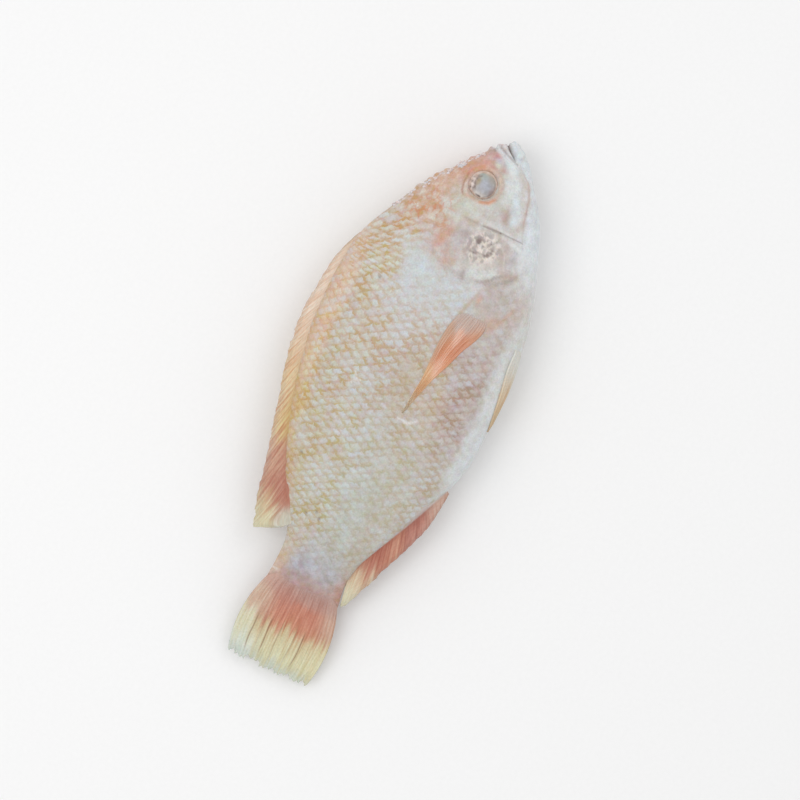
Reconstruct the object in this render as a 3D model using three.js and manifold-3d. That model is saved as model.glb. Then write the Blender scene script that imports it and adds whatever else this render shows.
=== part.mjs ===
// A whole red tilapia, frozen stiff, lying on its left flank with every fin folded back along it.
// The head, gill covers, trunk and tail root are one grown body under one skin. The eyes sit in
// sockets, and each fin is a thin plate of bony rays and membrane of its own.
// Millimetres. +X runs from the tail to the snout, +Y from the belly to the back, and +Z up, out of
// the right flank. The group is moved so that the fish rests on Z = 0, centred on the origin.
import * as THREE from "three";
import { mergeVertices } from "three/addons/utils/BufferGeometryUtils.js";
import Module from "manifold-3d";

const wasm = await Module();
wasm.setup();

// Body
const BODY_LENGTH = 242; // snout to the root of the tail fin
const BACK_HEIGHT = 54.5; // from the body's axis up to the highest point of the back
const BELLY_DEPTH = 47; // from the axis down to the lowest point of the belly
const BODY_WIDTH = 44; // flank to flank, before the lower flank is flattened
const REST_FLAT = 1.6; // how much of the lower flank is pressed flat by lying on a tray
const TAIL_DROOP = 14; // how far the tail fin's free edge has sagged below the body's middle plane
const BACK_FULLNESS = 1; // 1 is an ellipse, and less is fuller
const BELLY_FULLNESS = 0.85;

// Head
const EYE_DIAMETER = 14.6;
const EYE_DEPTH = 10.5; // across the eyeball, side to side of the head
const EYE_PROUD = 1.6; // how far the eyeball stands out of the cheek
const EYE_FROM_SNOUT = 25.4;
const EYE_HEIGHT = 6.4; // above the axis
const MOUTH_DEPTH = 10; // from the lips back to the corner of the mouth
const MOUTH_GAPE = 0.9;
const MOUTH_HEIGHT = 3.2; // of the mouth's front above the axis
const MOUTH_SLOPE = THREE.MathUtils.degToRad(43);
const GILL_FROM_SNOUT = 52; // centre of the gill cover's round rear edge
const GILL_HEIGHT = -4;
const GILL_LENGTH = 18; // from that centre back to the rear edge
const GILL_RISE = 24;
const GILL_SLIT = 0.9;
const GILL_SLIT_DEPTH = 2.4;

// Fins
const FIN_GAP = 0.3; // clearance between a fin or an eye and the body
const RAY_THICKNESS = 1.7;
const MEMBRANE_THICKNESS = 1;
const FIN_EDGE_THICKNESS = 0.6;
const PAIRED_FIN_THICKNESS = 1.3;
const DORSAL_FROM_SNOUT = 70;
const DORSAL_BASE = 144;
const DORSAL_HEIGHT = 9.5; // of the folded fin above the back, at its highest
const DORSAL_SWEEP = 18.4; // how far back the longest folded ray reaches
const DORSAL_RAYS = 29;
const ANAL_FROM_SNOUT = 166;
const ANAL_BASE = 56;
const ANAL_HEIGHT = 4.4;
const ANAL_SWEEP = 22;
const ANAL_RAYS = 14;
const TAIL_FIN_LENGTH = 41.5;
const TAIL_FIN_SPREAD = 5; // how far the free edge is wider than the root
const TAIL_FIN_BULGE = 3.4;
const TAIL_RAYS = 16;
const PECTORAL_FROM_SNOUT = 84;
const PECTORAL_LENGTH = 58;
const PECTORAL_WIDTH = 15.8;
const PELVIC_FROM_SNOUT = 88;
const PELVIC_LENGTH = 45;
const PELVIC_WIDTH = 7;

// Meshing
const BODY_STATIONS = 46;
const RING_POINTS = 40;
const BALL_STEPS = [20, 12];

// Outlines as [share of the body's length from the tail root, share of the greatest size].
const BACK_LINE = [
  [0, 0.392], [0.05, 0.378], [0.091, 0.39], [0.145, 0.505], [0.207, 0.642],
  [0.289, 0.785], [0.372, 0.887], [0.455, 0.963], [0.537, 1], [0.62, 0.99],
  [0.711, 0.932], [0.764, 0.822], [0.806, 0.716], [0.868, 0.55], [0.909, 0.413],
  [0.95, 0.262], [0.979, 0.165], [0.994, 0.075], [1, 0.01],
];
const BELLY_LINE = [
  [0, 0.35], [0.05, 0.326], [0.091, 0.362], [0.145, 0.489], [0.207, 0.638],
  [0.269, 0.777], [0.322, 0.894], [0.372, 0.966], [0.455, 0.99], [0.537, 1],
  [0.62, 0.965], [0.682, 0.914], [0.744, 0.826], [0.806, 0.71], [0.868, 0.58],
  [0.917, 0.43], [0.959, 0.272], [0.983, 0.166], [0.996, 0.085], [1, 0.03],
];
const WIDTH_LINE = [
  [0, 0.12], [0.033, 0.22], [0.083, 0.33], [0.165, 0.5], [0.269, 0.71],
  [0.372, 0.88], [0.496, 0.98], [0.62, 1], [0.723, 0.99], [0.806, 0.92],
  [0.868, 0.8], [0.917, 0.65], [0.959, 0.46], [0.983, 0.32], [0.996, 0.19], [1, 0.1],
];
// Height above the axis of the flank's widest level, in millimetres.
const WIDEST_LINE = [
  [0, 2.6], [0.165, 2.5], [0.413, 2], [0.62, -1], [0.764, -4.5], [0.888, -2], [1, -0.4],
];

// Fin rays as [share of the base from its front, share of the sweep, share of the height].
const DORSAL_EDGE = [
  [0, 0.04, 0.03], [0.1, 0.2, 0.41], [0.2, 0.23, 0.49], [0.35, 0.3, 0.59], [0.5, 0.38, 0.52],
  [0.65, 0.51, 0.46], [0.8, 0.75, 0.62], [0.9, 1, 0.81], [0.95, 0.88, 1], [1, 0.22, 0.12],
];
const ANAL_EDGE = [
  [0, 0.1, 0.32], [0.25, 0.3, 1], [0.5, 0.5, 0.93], [0.75, 0.77, 0.57], [0.9, 1, 0.22], [1, 0.87, 0.14],
];
// Paired fins as [share of the length from the root, height of the middle, share of the width].
const PECTORAL_BLADE = [
  [0, -17.5, 0.86], [0.14, -15.5, 1], [0.31, -12.5, 0.8], [0.48, -10.6, 0.58],
  [0.66, -8.6, 0.31], [0.83, -6.6, 0.16], [1, -4.7, 0.05],
];
const PELVIC_BLADE = [[0, -72, 0.5], [0.25, -73, 1], [0.6, -77, 0.9], [0.85, -80, 0.5], [1, -82, 0.12]];

const SNOUT_X = BODY_LENGTH;
const HALF_WIDTH = BODY_WIDTH / 2;
const TAIL_END_X = -TAIL_FIN_LENGTH;
const DROOP_FROM = 0.33; // share of the body's length where the sag begins
const DROOP_POWER = 1.8;

// A smooth curve through [share, value] points, as a function of the share.
function smoothLine(points, column = 1) {
  const shares = points.map((point) => point[0]);
  const values = points.map((point) => point[column]);
  const line = new THREE.CubicInterpolant(shares, values, 1, new Float32Array(1));
  return (share) => line.evaluate(THREE.MathUtils.clamp(share, 0, 1))[0];
}

const backShare = smoothLine(BACK_LINE);
const bellyShare = smoothLine(BELLY_LINE);
const widthShare = smoothLine(WIDTH_LINE);
const widestHeight = smoothLine(WIDEST_LINE);

const backY = (x) => BACK_HEIGHT * backShare(x / BODY_LENGTH);
const bellyY = (x) => -BELLY_DEPTH * bellyShare(x / BODY_LENGTH);
const widestY = (x) => widestHeight(x / BODY_LENGTH);
const halfWidth = (x) => HALF_WIDTH * widthShare(x / BODY_LENGTH);

// Height of the fish's middle plane: level along the trunk, and sagging towards the tail.
function middleZ(x) {
  const from = DROOP_FROM * BODY_LENGTH;
  const share = THREE.MathUtils.clamp((from - x) / (from - TAIL_END_X), 0, 1);
  return HALF_WIDTH - REST_FLAT - TAIL_DROOP * share ** DROOP_POWER;
}

// A point of the skin. The angle is 0 at the flank's widest level, 90 degrees at the back and
// -90 degrees at the belly.
function skinPoint(x, angle, side = 1) {
  const rise = Math.sin(angle);
  const reach = Math.abs(Math.cos(angle));
  const height = rise > 0 ? backY(x) - widestY(x) : widestY(x) - bellyY(x);
  const fullness = rise > 0 ? BACK_FULLNESS : BELLY_FULLNESS;
  const out = halfWidth(x) * reach ** fullness;
  return new THREE.Vector3(x, widestY(x) + height * rise, middleZ(x) + side * out);
}

// The angle at which the skin passes through a height.
function skinAngle(x, y) {
  const height = y > widestY(x) ? backY(x) - widestY(x) : widestY(x) - bellyY(x);
  return Math.asin(THREE.MathUtils.clamp((y - widestY(x)) / height, -1, 1));
}

// The same point lifted off the skin, square to it.
function liftedPoint(x, angle, side, lift) {
  const step = 0.01;
  const here = skinPoint(x, angle, side);
  const along = skinPoint(x + step, angle, side).sub(skinPoint(x - step, angle, side));
  const round = skinPoint(x, angle + step, side).sub(skinPoint(x, angle - step, side));
  const normal = along.cross(round).normalize().multiplyScalar(-side);
  return here.addScaledVector(normal, -lift);
}

function makeGeometry(positions, index) {
  return new THREE.BufferGeometry()
    .setAttribute("position", new THREE.Float32BufferAttribute(positions, 3))
    .setIndex(index);
}

function toSolid(geometry) {
  const bare = geometry.clone();
  bare.deleteAttribute("normal");
  bare.deleteAttribute("uv");
  const merged = mergeVertices(bare, 1e-4);
  const mesh = new wasm.Mesh({
    numProp: 3,
    vertProperties: new Float32Array(merged.attributes.position.array),
    triVerts: new Uint32Array(merged.index.array),
  });
  return new wasm.Manifold(mesh);
}

function toGeometry(solid) {
  const mesh = solid.getMesh();
  return makeGeometry(Array.from(mesh.vertProperties), Array.from(mesh.triVerts));
}

// Rings of skin points joined from the tail root to the snout, closed by a fan at each end.
function bodyLoft() {
  const positions = [];
  const index = [];
  for (let i = 0; i <= BODY_STATIONS; i++) {
    const x = (BODY_LENGTH * (1 - Math.cos((Math.PI * i) / BODY_STATIONS))) / 2;
    for (let j = 0; j < RING_POINTS; j++) {
      const turn = (2 * Math.PI * j) / RING_POINTS;
      const side = Math.cos(turn) >= 0 ? 1 : -1;
      positions.push(...skinPoint(x, Math.asin(Math.sin(turn)), side));
    }
  }
  for (let i = 0; i < BODY_STATIONS; i++) {
    for (let j = 0; j < RING_POINTS; j++) {
      const next = (j + 1) % RING_POINTS;
      const [a, b] = [i * RING_POINTS + j, i * RING_POINTS + next];
      const [c, d] = [a + RING_POINTS, b + RING_POINTS];
      index.push(a, c, b, b, c, d);
    }
  }
  for (const [station, flip] of [[0, false], [BODY_STATIONS, true]]) {
    const x = station ? SNOUT_X : 0;
    const centre = positions.length / 3;
    positions.push(x, widestY(x), middleZ(x));
    for (let j = 0; j < RING_POINTS; j++) {
      const [a, b] = [station * RING_POINTS + j, station * RING_POINTS + ((j + 1) % RING_POINTS)];
      index.push(centre, ...(flip ? [b, a] : [a, b]));
    }
  }
  return makeGeometry(positions, index);
}

// A closed plate between two faces, each a function of the shares across and along it.
function closedPlate(upper, lower, stepsAcross, stepsAlong) {
  const positions = [];
  const index = [];
  const columns = stepsAcross + 1;
  const face = columns * (stepsAlong + 1);
  for (const side of [upper, lower]) {
    for (let j = 0; j <= stepsAlong; j++) {
      for (let i = 0; i <= stepsAcross; i++) positions.push(...side(i / stepsAcross, j / stepsAlong));
    }
  }
  const quad = (a, b, c, d) => index.push(a, b, c, a, c, d);
  for (let j = 0; j < stepsAlong; j++) {
    for (let i = 0; i < stepsAcross; i++) {
      const a = j * columns + i;
      quad(a, a + 1, a + columns + 1, a + columns);
      quad(face + a, face + a + columns, face + a + columns + 1, face + a + 1);
    }
  }
  for (let i = 0; i < stepsAcross; i++) {
    const far = stepsAlong * columns + i;
    quad(i, face + i, face + i + 1, i + 1);
    quad(far, far + 1, face + far + 1, face + far);
  }
  for (let j = 0; j < stepsAlong; j++) {
    const near = j * columns;
    const far = near + stepsAcross;
    quad(near, near + columns, face + near + columns, face + near);
    quad(far, face + far, face + far + columns, far + columns);
  }
  const geometry = makeGeometry(positions, index);
  const volume = toSolid(geometry).volume();
  if (volume < 0) geometry.setIndex(index.reverse());
  return geometry;
}

// A fin in the middle plane. root(u) and tip(u) are [x, y] at the share u of its base, and
// bulge(u) bows a ray in Y.
function medianFin(root, tip, bulge, rays) {
  const stepsOut = 5;
  const place = (side) => (u, v) => {
    const [rootX, rootY] = root(u);
    const [tipX, tipY] = tip(u);
    const x = THREE.MathUtils.lerp(rootX, tipX, v);
    const y = THREE.MathUtils.lerp(rootY, tipY, v) + bulge(u) * 4 * v * (1 - v);
    const isRay = Math.round(u * 2 * rays) % 2 === 1;
    const rootThickness = isRay ? RAY_THICKNESS : MEMBRANE_THICKNESS;
    const thickness = THREE.MathUtils.lerp(rootThickness, FIN_EDGE_THICKNESS, v);
    return [x, y, middleZ(x) + (side * thickness) / 2];
  };
  return closedPlate(place(1), place(-1), 2 * rays, stepsOut);
}

// A median fin whose rays lean back from a base along the back (up is 1) or the belly (up is -1).
function foldedFin(fromSnout, base, sweep, height, edge, rays, up) {
  const sweepShare = smoothLine(edge, 1);
  const heightShare = smoothLine(edge, 2);
  const line = up > 0 ? backY : bellyY;
  const root = (u) => {
    const x = SNOUT_X - fromSnout - base * u;
    return [x, line(x) + up * FIN_GAP];
  };
  const tip = (u) => {
    const [x, y] = root(u);
    return [x - sweep * sweepShare(u), y + up * height * heightShare(u)];
  };
  return medianFin(root, tip, () => 0, rays);
}

function dorsalFin() {
  return foldedFin(DORSAL_FROM_SNOUT, DORSAL_BASE, DORSAL_SWEEP, DORSAL_HEIGHT, DORSAL_EDGE, DORSAL_RAYS, 1);
}

function analFin() {
  return foldedFin(ANAL_FROM_SNOUT, ANAL_BASE, ANAL_SWEEP, ANAL_HEIGHT, ANAL_EDGE, ANAL_RAYS, -1);
}

function tailFin() {
  const lerp = THREE.MathUtils.lerp;
  const root = (u) => [-FIN_GAP, lerp(backY(0), bellyY(0), u)];
  const tip = (u) => [TAIL_END_X, lerp(backY(0) + TAIL_FIN_SPREAD / 2, bellyY(0) - TAIL_FIN_SPREAD / 2, u)];
  const bulge = (u) => TAIL_FIN_BULGE * (1 - 2 * u);
  return medianFin(root, tip, bulge, TAIL_RAYS);
}

// The pectoral fin lies flat on the flank. The lower one is pressed into the flank by what the fish lies on,
// and a grown one, larger all round by the clearance, cuts its seat.
function pectoralFin(side, grow = 0) {
  const middle = smoothLine(PECTORAL_BLADE, 1);
  const width = smoothLine(PECTORAL_BLADE, 2);
  const rootX = SNOUT_X - PECTORAL_FROM_SNOUT;
  const place = (lift, floor) => (u, v) => {
    const x = THREE.MathUtils.lerp(rootX + grow, rootX - PECTORAL_LENGTH - grow, v);
    const y = middle(v) + (PECTORAL_WIDTH * width(v) + 2 * grow) * (0.5 - u);
    const point = liftedPoint(x, skinAngle(x, y), side, lift);
    point.z = Math.max(point.z, floor);
    return point;
  };
  const far = FIN_GAP + PAIRED_FIN_THICKNESS + 3 * grow;
  const inner = place(FIN_GAP - grow, PAIRED_FIN_THICKNESS + grow);
  return closedPlate(place(far, -3 * grow), inner, 6, 12);
}

// The pelvic fin lies along the belly, placed by its angle round the body.
function pelvicFin(side) {
  const middle = smoothLine(PELVIC_BLADE, 1);
  const width = smoothLine(PELVIC_BLADE, 2);
  const rootX = SNOUT_X - PELVIC_FROM_SNOUT;
  const girth = HALF_WIDTH; // the section's radius near the belly, which turns a width into an angle
  const place = (lift) => (u, v) => {
    const x = rootX - PELVIC_LENGTH * v;
    const angle = THREE.MathUtils.degToRad(middle(v)) + ((PELVIC_WIDTH * width(v)) / girth) * (0.5 - u);
    return liftedPoint(x, angle, side, lift);
  };
  return closedPlate(place(FIN_GAP + PAIRED_FIN_THICKNESS), place(FIN_GAP), 4, 8);
}

// An eyeball, or with grow the socket that it sits in.
function eyeBall(side, grow = 0) {
  const x = SNOUT_X - EYE_FROM_SNOUT;
  const cheek = skinPoint(x, skinAngle(x, EYE_HEIGHT), side);
  const ball = new THREE.SphereGeometry(1, ...BALL_STEPS);
  ball.rotateX(Math.PI / 2);
  ball.scale(EYE_DIAMETER / 2 + grow, EYE_DIAMETER / 2 + grow, EYE_DEPTH / 2 + grow);
  return ball.translate(x, EYE_HEIGHT, cheek.z + side * (EYE_PROUD - EYE_DEPTH / 2));
}

function mouthCut() {
  const slit = new THREE.BoxGeometry(2 * MOUTH_DEPTH, MOUTH_GAPE, BODY_WIDTH);
  slit.rotateZ(MOUTH_SLOPE);
  return slit.translate(SNOUT_X - 1, MOUTH_HEIGHT + 1, middleZ(SNOUT_X));
}

// The slit behind the gill cover: a thin curved wall along its round rear edge.
function gillCut(side) {
  const [from, to] = [THREE.MathUtils.degToRad(125), THREE.MathUtils.degToRad(245)];
  const shape = new THREE.Shape();
  shape.absellipse(0, 0, GILL_LENGTH + GILL_SLIT, GILL_RISE + GILL_SLIT, from, to, false, 0);
  shape.absellipse(0, 0, GILL_LENGTH, GILL_RISE, to, from, true, 0);
  const options = { depth: BODY_WIDTH, bevelEnabled: false, curveSegments: 12 };
  const wall = new THREE.ExtrudeGeometry(shape, options);
  const x = SNOUT_X - GILL_FROM_SNOUT;
  const bottom = middleZ(x) + side * (halfWidth(x) - GILL_SLIT_DEPTH);
  return wall.translate(x, GILL_HEIGHT, side > 0 ? bottom : bottom - BODY_WIDTH);
}

function body() {
  const tray = new THREE.BoxGeometry(4 * BODY_LENGTH, 4 * BODY_LENGTH, BODY_WIDTH);
  tray.translate(0, 0, -BODY_WIDTH / 2);
  const cuts = [tray, mouthCut(), pectoralFin(-1, FIN_GAP)];
  for (const side of [1, -1]) cuts.push(eyeBall(side, FIN_GAP), gillCut(side));
  return toGeometry(cuts.reduce((solid, cut) => solid.subtract(toSolid(cut)), toSolid(bodyLoft())));
}

const skin = new THREE.MeshStandardMaterial({ color: "#d3cfc4", roughness: 0.45 });
const eyeSkin = new THREE.MeshStandardMaterial({ color: "#b3b9bd", roughness: 0.25 });
const redFin = new THREE.MeshStandardMaterial({ color: "#cf9c80", roughness: 0.5 });
const orangeFin = new THREE.MeshStandardMaterial({ color: "#dfa37c", roughness: 0.45 });
const paleFin = new THREE.MeshStandardMaterial({ color: "#d8d0ac", roughness: 0.5 });

const fish = new THREE.Group();

function addPiece(name, geometry, material) {
  const piece = new THREE.Mesh(geometry, material);
  piece.name = name;
  fish.add(piece);
}

addPiece("body", body(), skin);
addPiece("dorsal_fin", dorsalFin(), redFin);
addPiece("anal_fin", analFin(), redFin);
addPiece("tail_fin", tailFin(), redFin);
for (const [name, side] of [["right", 1], ["left", -1]]) {
  addPiece(`${name}_eye`, eyeBall(side), eyeSkin);
  addPiece(`${name}_pectoral_fin`, pectoralFin(side), orangeFin);
  addPiece(`${name}_pelvic_fin`, pelvicFin(side), paleFin);
}

// Centre the fish over the origin, with its rest face at Z = 0.
const box = new THREE.Box3().setFromObject(fish);
const centre = box.getCenter(new THREE.Vector3());
fish.position.set(-centre.x, -centre.y, -box.min.z);

export default fish;
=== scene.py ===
# A whole red tilapia, frozen stiff, lying on its left flank on a pale table.
# Shapes are worked out in the fish's own millimetres: x from the root of the tail fin to the snout,
# y from the body's axis towards the back, and z up from the table.
import math

import bmesh
import bpy
import numpy as np
from mathutils import Matrix, Vector


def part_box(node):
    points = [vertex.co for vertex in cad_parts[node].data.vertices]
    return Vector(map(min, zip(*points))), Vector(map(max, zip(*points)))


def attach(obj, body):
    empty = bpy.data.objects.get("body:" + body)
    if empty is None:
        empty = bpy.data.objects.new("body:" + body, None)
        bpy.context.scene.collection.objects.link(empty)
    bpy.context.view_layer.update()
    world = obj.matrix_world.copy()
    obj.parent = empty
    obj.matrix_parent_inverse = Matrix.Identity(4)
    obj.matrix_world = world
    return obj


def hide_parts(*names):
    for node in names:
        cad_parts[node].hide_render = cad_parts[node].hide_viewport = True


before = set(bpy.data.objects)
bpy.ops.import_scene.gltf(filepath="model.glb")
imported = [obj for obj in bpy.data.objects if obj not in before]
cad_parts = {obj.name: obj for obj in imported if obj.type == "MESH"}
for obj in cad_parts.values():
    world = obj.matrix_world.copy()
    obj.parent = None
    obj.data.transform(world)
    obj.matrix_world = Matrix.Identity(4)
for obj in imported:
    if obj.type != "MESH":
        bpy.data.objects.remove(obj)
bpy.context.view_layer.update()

MM = 0.001

# ---------------------------------------------------------------- sizes, from the frame

BODY_LOW, BODY_HIGH = (np.array(corner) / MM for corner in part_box("body"))
BODY_LENGTH, BODY_GIRTH_Y = (BODY_HIGH - BODY_LOW)[:2]
BELLY_SHARE = 47 / 101.5  # of the body's height that lies below its axis
BELLY_DEPTH = BODY_GIRTH_Y * BELLY_SHARE
BACK_HEIGHT = BODY_GIRTH_Y - BELLY_DEPTH
ORIGIN = np.array([BODY_LOW[0], BODY_LOW[1] + BELLY_DEPTH, 0.0])
REST_FLAT = 1.6  # mm that the lower flank is pressed flat
HALF_WIDTH = (BODY_HIGH[2] + REST_FLAT) / 2
EYE_LOW, EYE_HIGH = (np.array(corner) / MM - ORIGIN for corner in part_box("right_eye"))
EYE = (EYE_LOW + EYE_HIGH) / 2
EYE_RADIUS, _, EYE_HALF_DEPTH = (EYE_HIGH - EYE_LOW) / 2
TAIL_END_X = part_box("tail_fin")[0].x / MM - ORIGIN[0]
TAIL_DROOP = 14  # mm that the tail's end sinks below the head's middle plane
DROOP_FROM = 0.33  # share of the body's length, from the tail root, at which that starts
DROOP_POWER = 1.8
BACK_FULLNESS = 1.0  # of the cross-section: 1 is an ellipse, and less is fuller
BELLY_FULLNESS = 0.85

# Outlines as (share of the body's length from the tail root, share of the greatest size).
BACK_LINE = [
    (0, 0.392), (0.05, 0.378), (0.091, 0.39), (0.145, 0.505), (0.207, 0.642), (0.289, 0.785),
    (0.372, 0.887), (0.455, 0.963), (0.537, 1), (0.62, 0.99), (0.711, 0.932), (0.764, 0.822),
    (0.806, 0.716), (0.868, 0.55), (0.909, 0.413), (0.95, 0.262), (0.979, 0.165), (0.994, 0.075),
    (1, 0.01),
]
BELLY_LINE = [
    (0, 0.35), (0.05, 0.326), (0.091, 0.362), (0.145, 0.489), (0.207, 0.638), (0.269, 0.777),
    (0.322, 0.894), (0.372, 0.966), (0.455, 0.99), (0.537, 1), (0.62, 0.965), (0.682, 0.914),
    (0.744, 0.826), (0.806, 0.71), (0.868, 0.58), (0.917, 0.43), (0.959, 0.272), (0.983, 0.166),
    (0.996, 0.085), (1, 0.03),
]
WIDTH_LINE = [
    (0, 0.12), (0.033, 0.22), (0.083, 0.33), (0.165, 0.5), (0.269, 0.71), (0.372, 0.88),
    (0.496, 0.98), (0.62, 1), (0.723, 0.99), (0.806, 0.92), (0.868, 0.8), (0.917, 0.65),
    (0.959, 0.46), (0.983, 0.32), (0.996, 0.19), (1, 0.1),
]
WIDEST_LINE = [(0, 2.6), (0.165, 2.5), (0.413, 2), (0.62, -1), (0.764, -4.5), (0.888, -2), (1, -0.4)]


# ---------------------------------------------------------------- shape helpers

def smooth_line(points, column=1):
    """A smooth curve through (share, value, ...) points, as a function of the share."""
    points = np.array(points, float)
    at, value = points[:, 0], points[:, column]
    slope = np.gradient(value, at)

    def line(share):
        share = np.clip(share, at[0], at[-1])
        i = np.clip(np.searchsorted(at, share) - 1, 0, len(at) - 2)
        width = at[i + 1] - at[i]
        p = (share - at[i]) / width
        near = (2 * p**3 - 3 * p**2 + 1) * value[i] + (p**3 - 2 * p**2 + p) * width * slope[i]
        return near + (3 * p**2 - 2 * p**3) * value[i + 1] + (p**3 - p**2) * width * slope[i + 1]

    return line


def rise(value, low, high):
    """0 below low, 1 above high and a smooth step between; high may be the smaller."""
    t = np.clip((value - low) / (high - low), 0, 1)
    return t * t * (3 - 2 * t)


def spot(x, y, centre, radii, tilt=0):
    """A soft round patch: 1 at its centre and 0.37 at its radii, turned by tilt degrees."""
    dx, dy = x - centre[0], y - centre[1]
    c, s = math.cos(math.radians(tilt)), math.sin(math.radians(tilt))
    along, across = (dx * c + dy * s) / radii[0], (dy * c - dx * s) / radii[1]
    return np.exp(-(along**2 + across**2))


def stroke(x, y, path, width):
    """1 on a path of straight stretches, falling smoothly to 0 at width from it."""
    nearest = np.full(np.shape(x), 1e9)
    for (ax, ay), (bx, by) in zip(path[:-1], path[1:]):
        length = (bx - ax) ** 2 + (by - ay) ** 2
        t = np.clip(((x - ax) * (bx - ax) + (y - ay) * (by - ay)) / length, 0, 1)
        nearest = np.minimum(nearest, np.hypot(x - ax - t * (bx - ax), y - ay - t * (by - ay)))
    return rise(nearest, width, 0)


NOISE_TABLE = np.random.default_rng(7).random((32, 32, 32))


def grain(points, size, octaves=2, seed=0):
    """Smooth noise from -1 to 1 over points in millimetres, with blotches of about the size given."""
    total, weight = 0, 0
    for octave in range(octaves):
        p = points / size * 2**octave + 5.3 * seed + 11.7 * octave
        cell = np.floor(p).astype(int)
        t = p - cell
        t = t * t * (3 - 2 * t)
        value = 0
        for corner in np.ndindex(2, 2, 2):
            share = np.prod(np.where(corner, t, 1 - t), axis=-1)
            i, j, k = np.moveaxis((cell + corner) % 32, -1, 0)
            value = value + share * NOISE_TABLE[i, j, k]
        total = total + value * 0.5**octave
        weight += 0.5**octave
    return 2 * total / weight - 1


back_share, belly_share = smooth_line(BACK_LINE), smooth_line(BELLY_LINE)
width_share, widest_height = smooth_line(WIDTH_LINE), smooth_line(WIDEST_LINE)


def back_y(x):
    return BACK_HEIGHT * back_share(x / BODY_LENGTH)


def belly_y(x):
    return -BELLY_DEPTH * belly_share(x / BODY_LENGTH)


def widest_y(x):
    return widest_height(x / BODY_LENGTH)


def middle_z(x):
    """Height of the fish's middle plane, which sags towards the tail."""
    start = DROOP_FROM * BODY_LENGTH
    share = np.clip((start - x) / (start - TAIL_END_X), 0, 1)
    return HALF_WIDTH - REST_FLAT - TAIL_DROOP * share**DROOP_POWER


def skin_point(x, angle, side):
    """A point of the smooth skin; the angle is 0 at the flank's widest level and 90 degrees at the back."""
    up = np.sin(angle)
    reach = np.maximum(np.abs(np.cos(angle)), 1e-9)
    top = up > 0
    height = np.where(top, back_y(x) - widest_y(x), widest_y(x) - belly_y(x))
    fullness = np.where(top, BACK_FULLNESS, BELLY_FULLNESS)
    out = HALF_WIDTH * width_share(x / BODY_LENGTH) * reach**fullness
    x = np.broadcast_to(x, np.shape(angle))
    return np.stack([x, widest_y(x) + height * up, middle_z(x) + side * out], -1)


def skin_angle(x, y):
    height = np.where(y > widest_y(x), back_y(x) - widest_y(x), widest_y(x) - belly_y(x))
    return np.arcsin(np.clip((y - widest_y(x)) / height, -1, 1))


def lifted_point(x, angle, side, lift):
    """A point of the skin raised square off it, in millimetres."""
    step = 0.01
    along = skin_point(x + step, angle, side) - skin_point(x - step, angle, side)
    round_ = skin_point(x, angle + step, side) - skin_point(x, angle - step, side)
    normal = np.cross(along, round_) * np.asarray(side)[..., None]
    normal /= np.linalg.norm(normal, axis=-1, keepdims=True)
    return skin_point(x, angle, side) + normal * np.asarray(lift)[..., None]


def grid_normals(grid):
    """Outward normals of a closed grid of rings, each ring turning the same way round."""
    along = np.gradient(grid, axis=0)
    around = np.roll(grid, -1, axis=1) - np.roll(grid, 1, axis=1)
    normal = np.cross(along, around)
    normal /= np.maximum(np.linalg.norm(normal, axis=-1, keepdims=True), 1e-9)
    outward = np.sum(normal * (grid - grid.mean(axis=1, keepdims=True)))
    return normal if outward > 0 else -normal


def shell(name, rings, marks):
    """A closed mesh from rings of points in fish millimetres, with a fan over each end. marks gives what
    each point carries for its material: one number, or a linear colour of three."""
    rows, columns = rings.shape[:2]
    i, j = np.meshgrid(np.arange(rows - 1), np.arange(columns), indexing="ij")
    k = (j + 1) % columns
    corners = np.stack([i * columns + j, i * columns + k, (i + 1) * columns + k, (i + 1) * columns + j], -1)
    faces = corners.reshape(-1, 4).tolist()
    ends = [0, rows - 1]
    for end, row in enumerate(ends):
        centre = rows * columns + end
        faces += [[row * columns + a, row * columns + (a + 1) % columns, centre] for a in range(columns)]

    def with_ends(values):
        flat = values.reshape(rows * columns, -1)
        caps = [values[row].reshape(columns, -1).mean(0, keepdims=True) for row in ends]
        return np.concatenate([flat] + caps)

    points = (with_ends(rings) + ORIGIN) * MM
    mesh = bpy.data.meshes.new(name)
    mesh.from_pydata(points.tolist(), [], faces)
    for key, values in marks.items():
        values = with_ends(np.asarray(values, float))
        if values.shape[1] == 3:
            values = np.concatenate([values, np.ones((len(values), 1))], axis=1)
            layer = mesh.attributes.new(key, "FLOAT_COLOR", "POINT")
            layer.data.foreach_set("color", values.ravel())
        else:
            layer = mesh.attributes.new(key, "FLOAT", "POINT")
            layer.data.foreach_set("value", values.ravel())
    work = bmesh.new()
    work.from_mesh(mesh)
    bmesh.ops.recalc_face_normals(work, faces=work.faces)
    work.to_mesh(mesh)
    work.free()
    mesh.shade_smooth()
    piece = bpy.data.objects.new(name, mesh)
    bpy.context.scene.collection.objects.link(piece)
    return piece


def stands_for(piece, node, material):
    """The piece rides on the fish's one body, in place of its CAD node."""
    piece.data.materials.append(material)
    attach(piece, "root")
    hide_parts(node)


# ---------------------------------------------------------------- colours

def linear(code):
    """An sRGB hex colour as linear red, green and blue."""
    parts = [int(code[i:i + 2], 16) / 255 for i in (1, 3, 5)]
    return np.array([c / 12.92 if c <= 0.04045 else ((c + 0.055) / 1.055) ** 2.4 for c in parts])


def tint(x, y, patches, column):
    """Colour over (x, y), blended from soft patches of (x, y, reach along, reach across, colours...)."""
    total, weight = 0, 0
    for patch in patches:
        share = spot(x, y, patch[:2], patch[2:4])[..., None] + 1e-12
        total = total + share * linear(patch[column])
        weight = weight + share
    return total / weight


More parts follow.
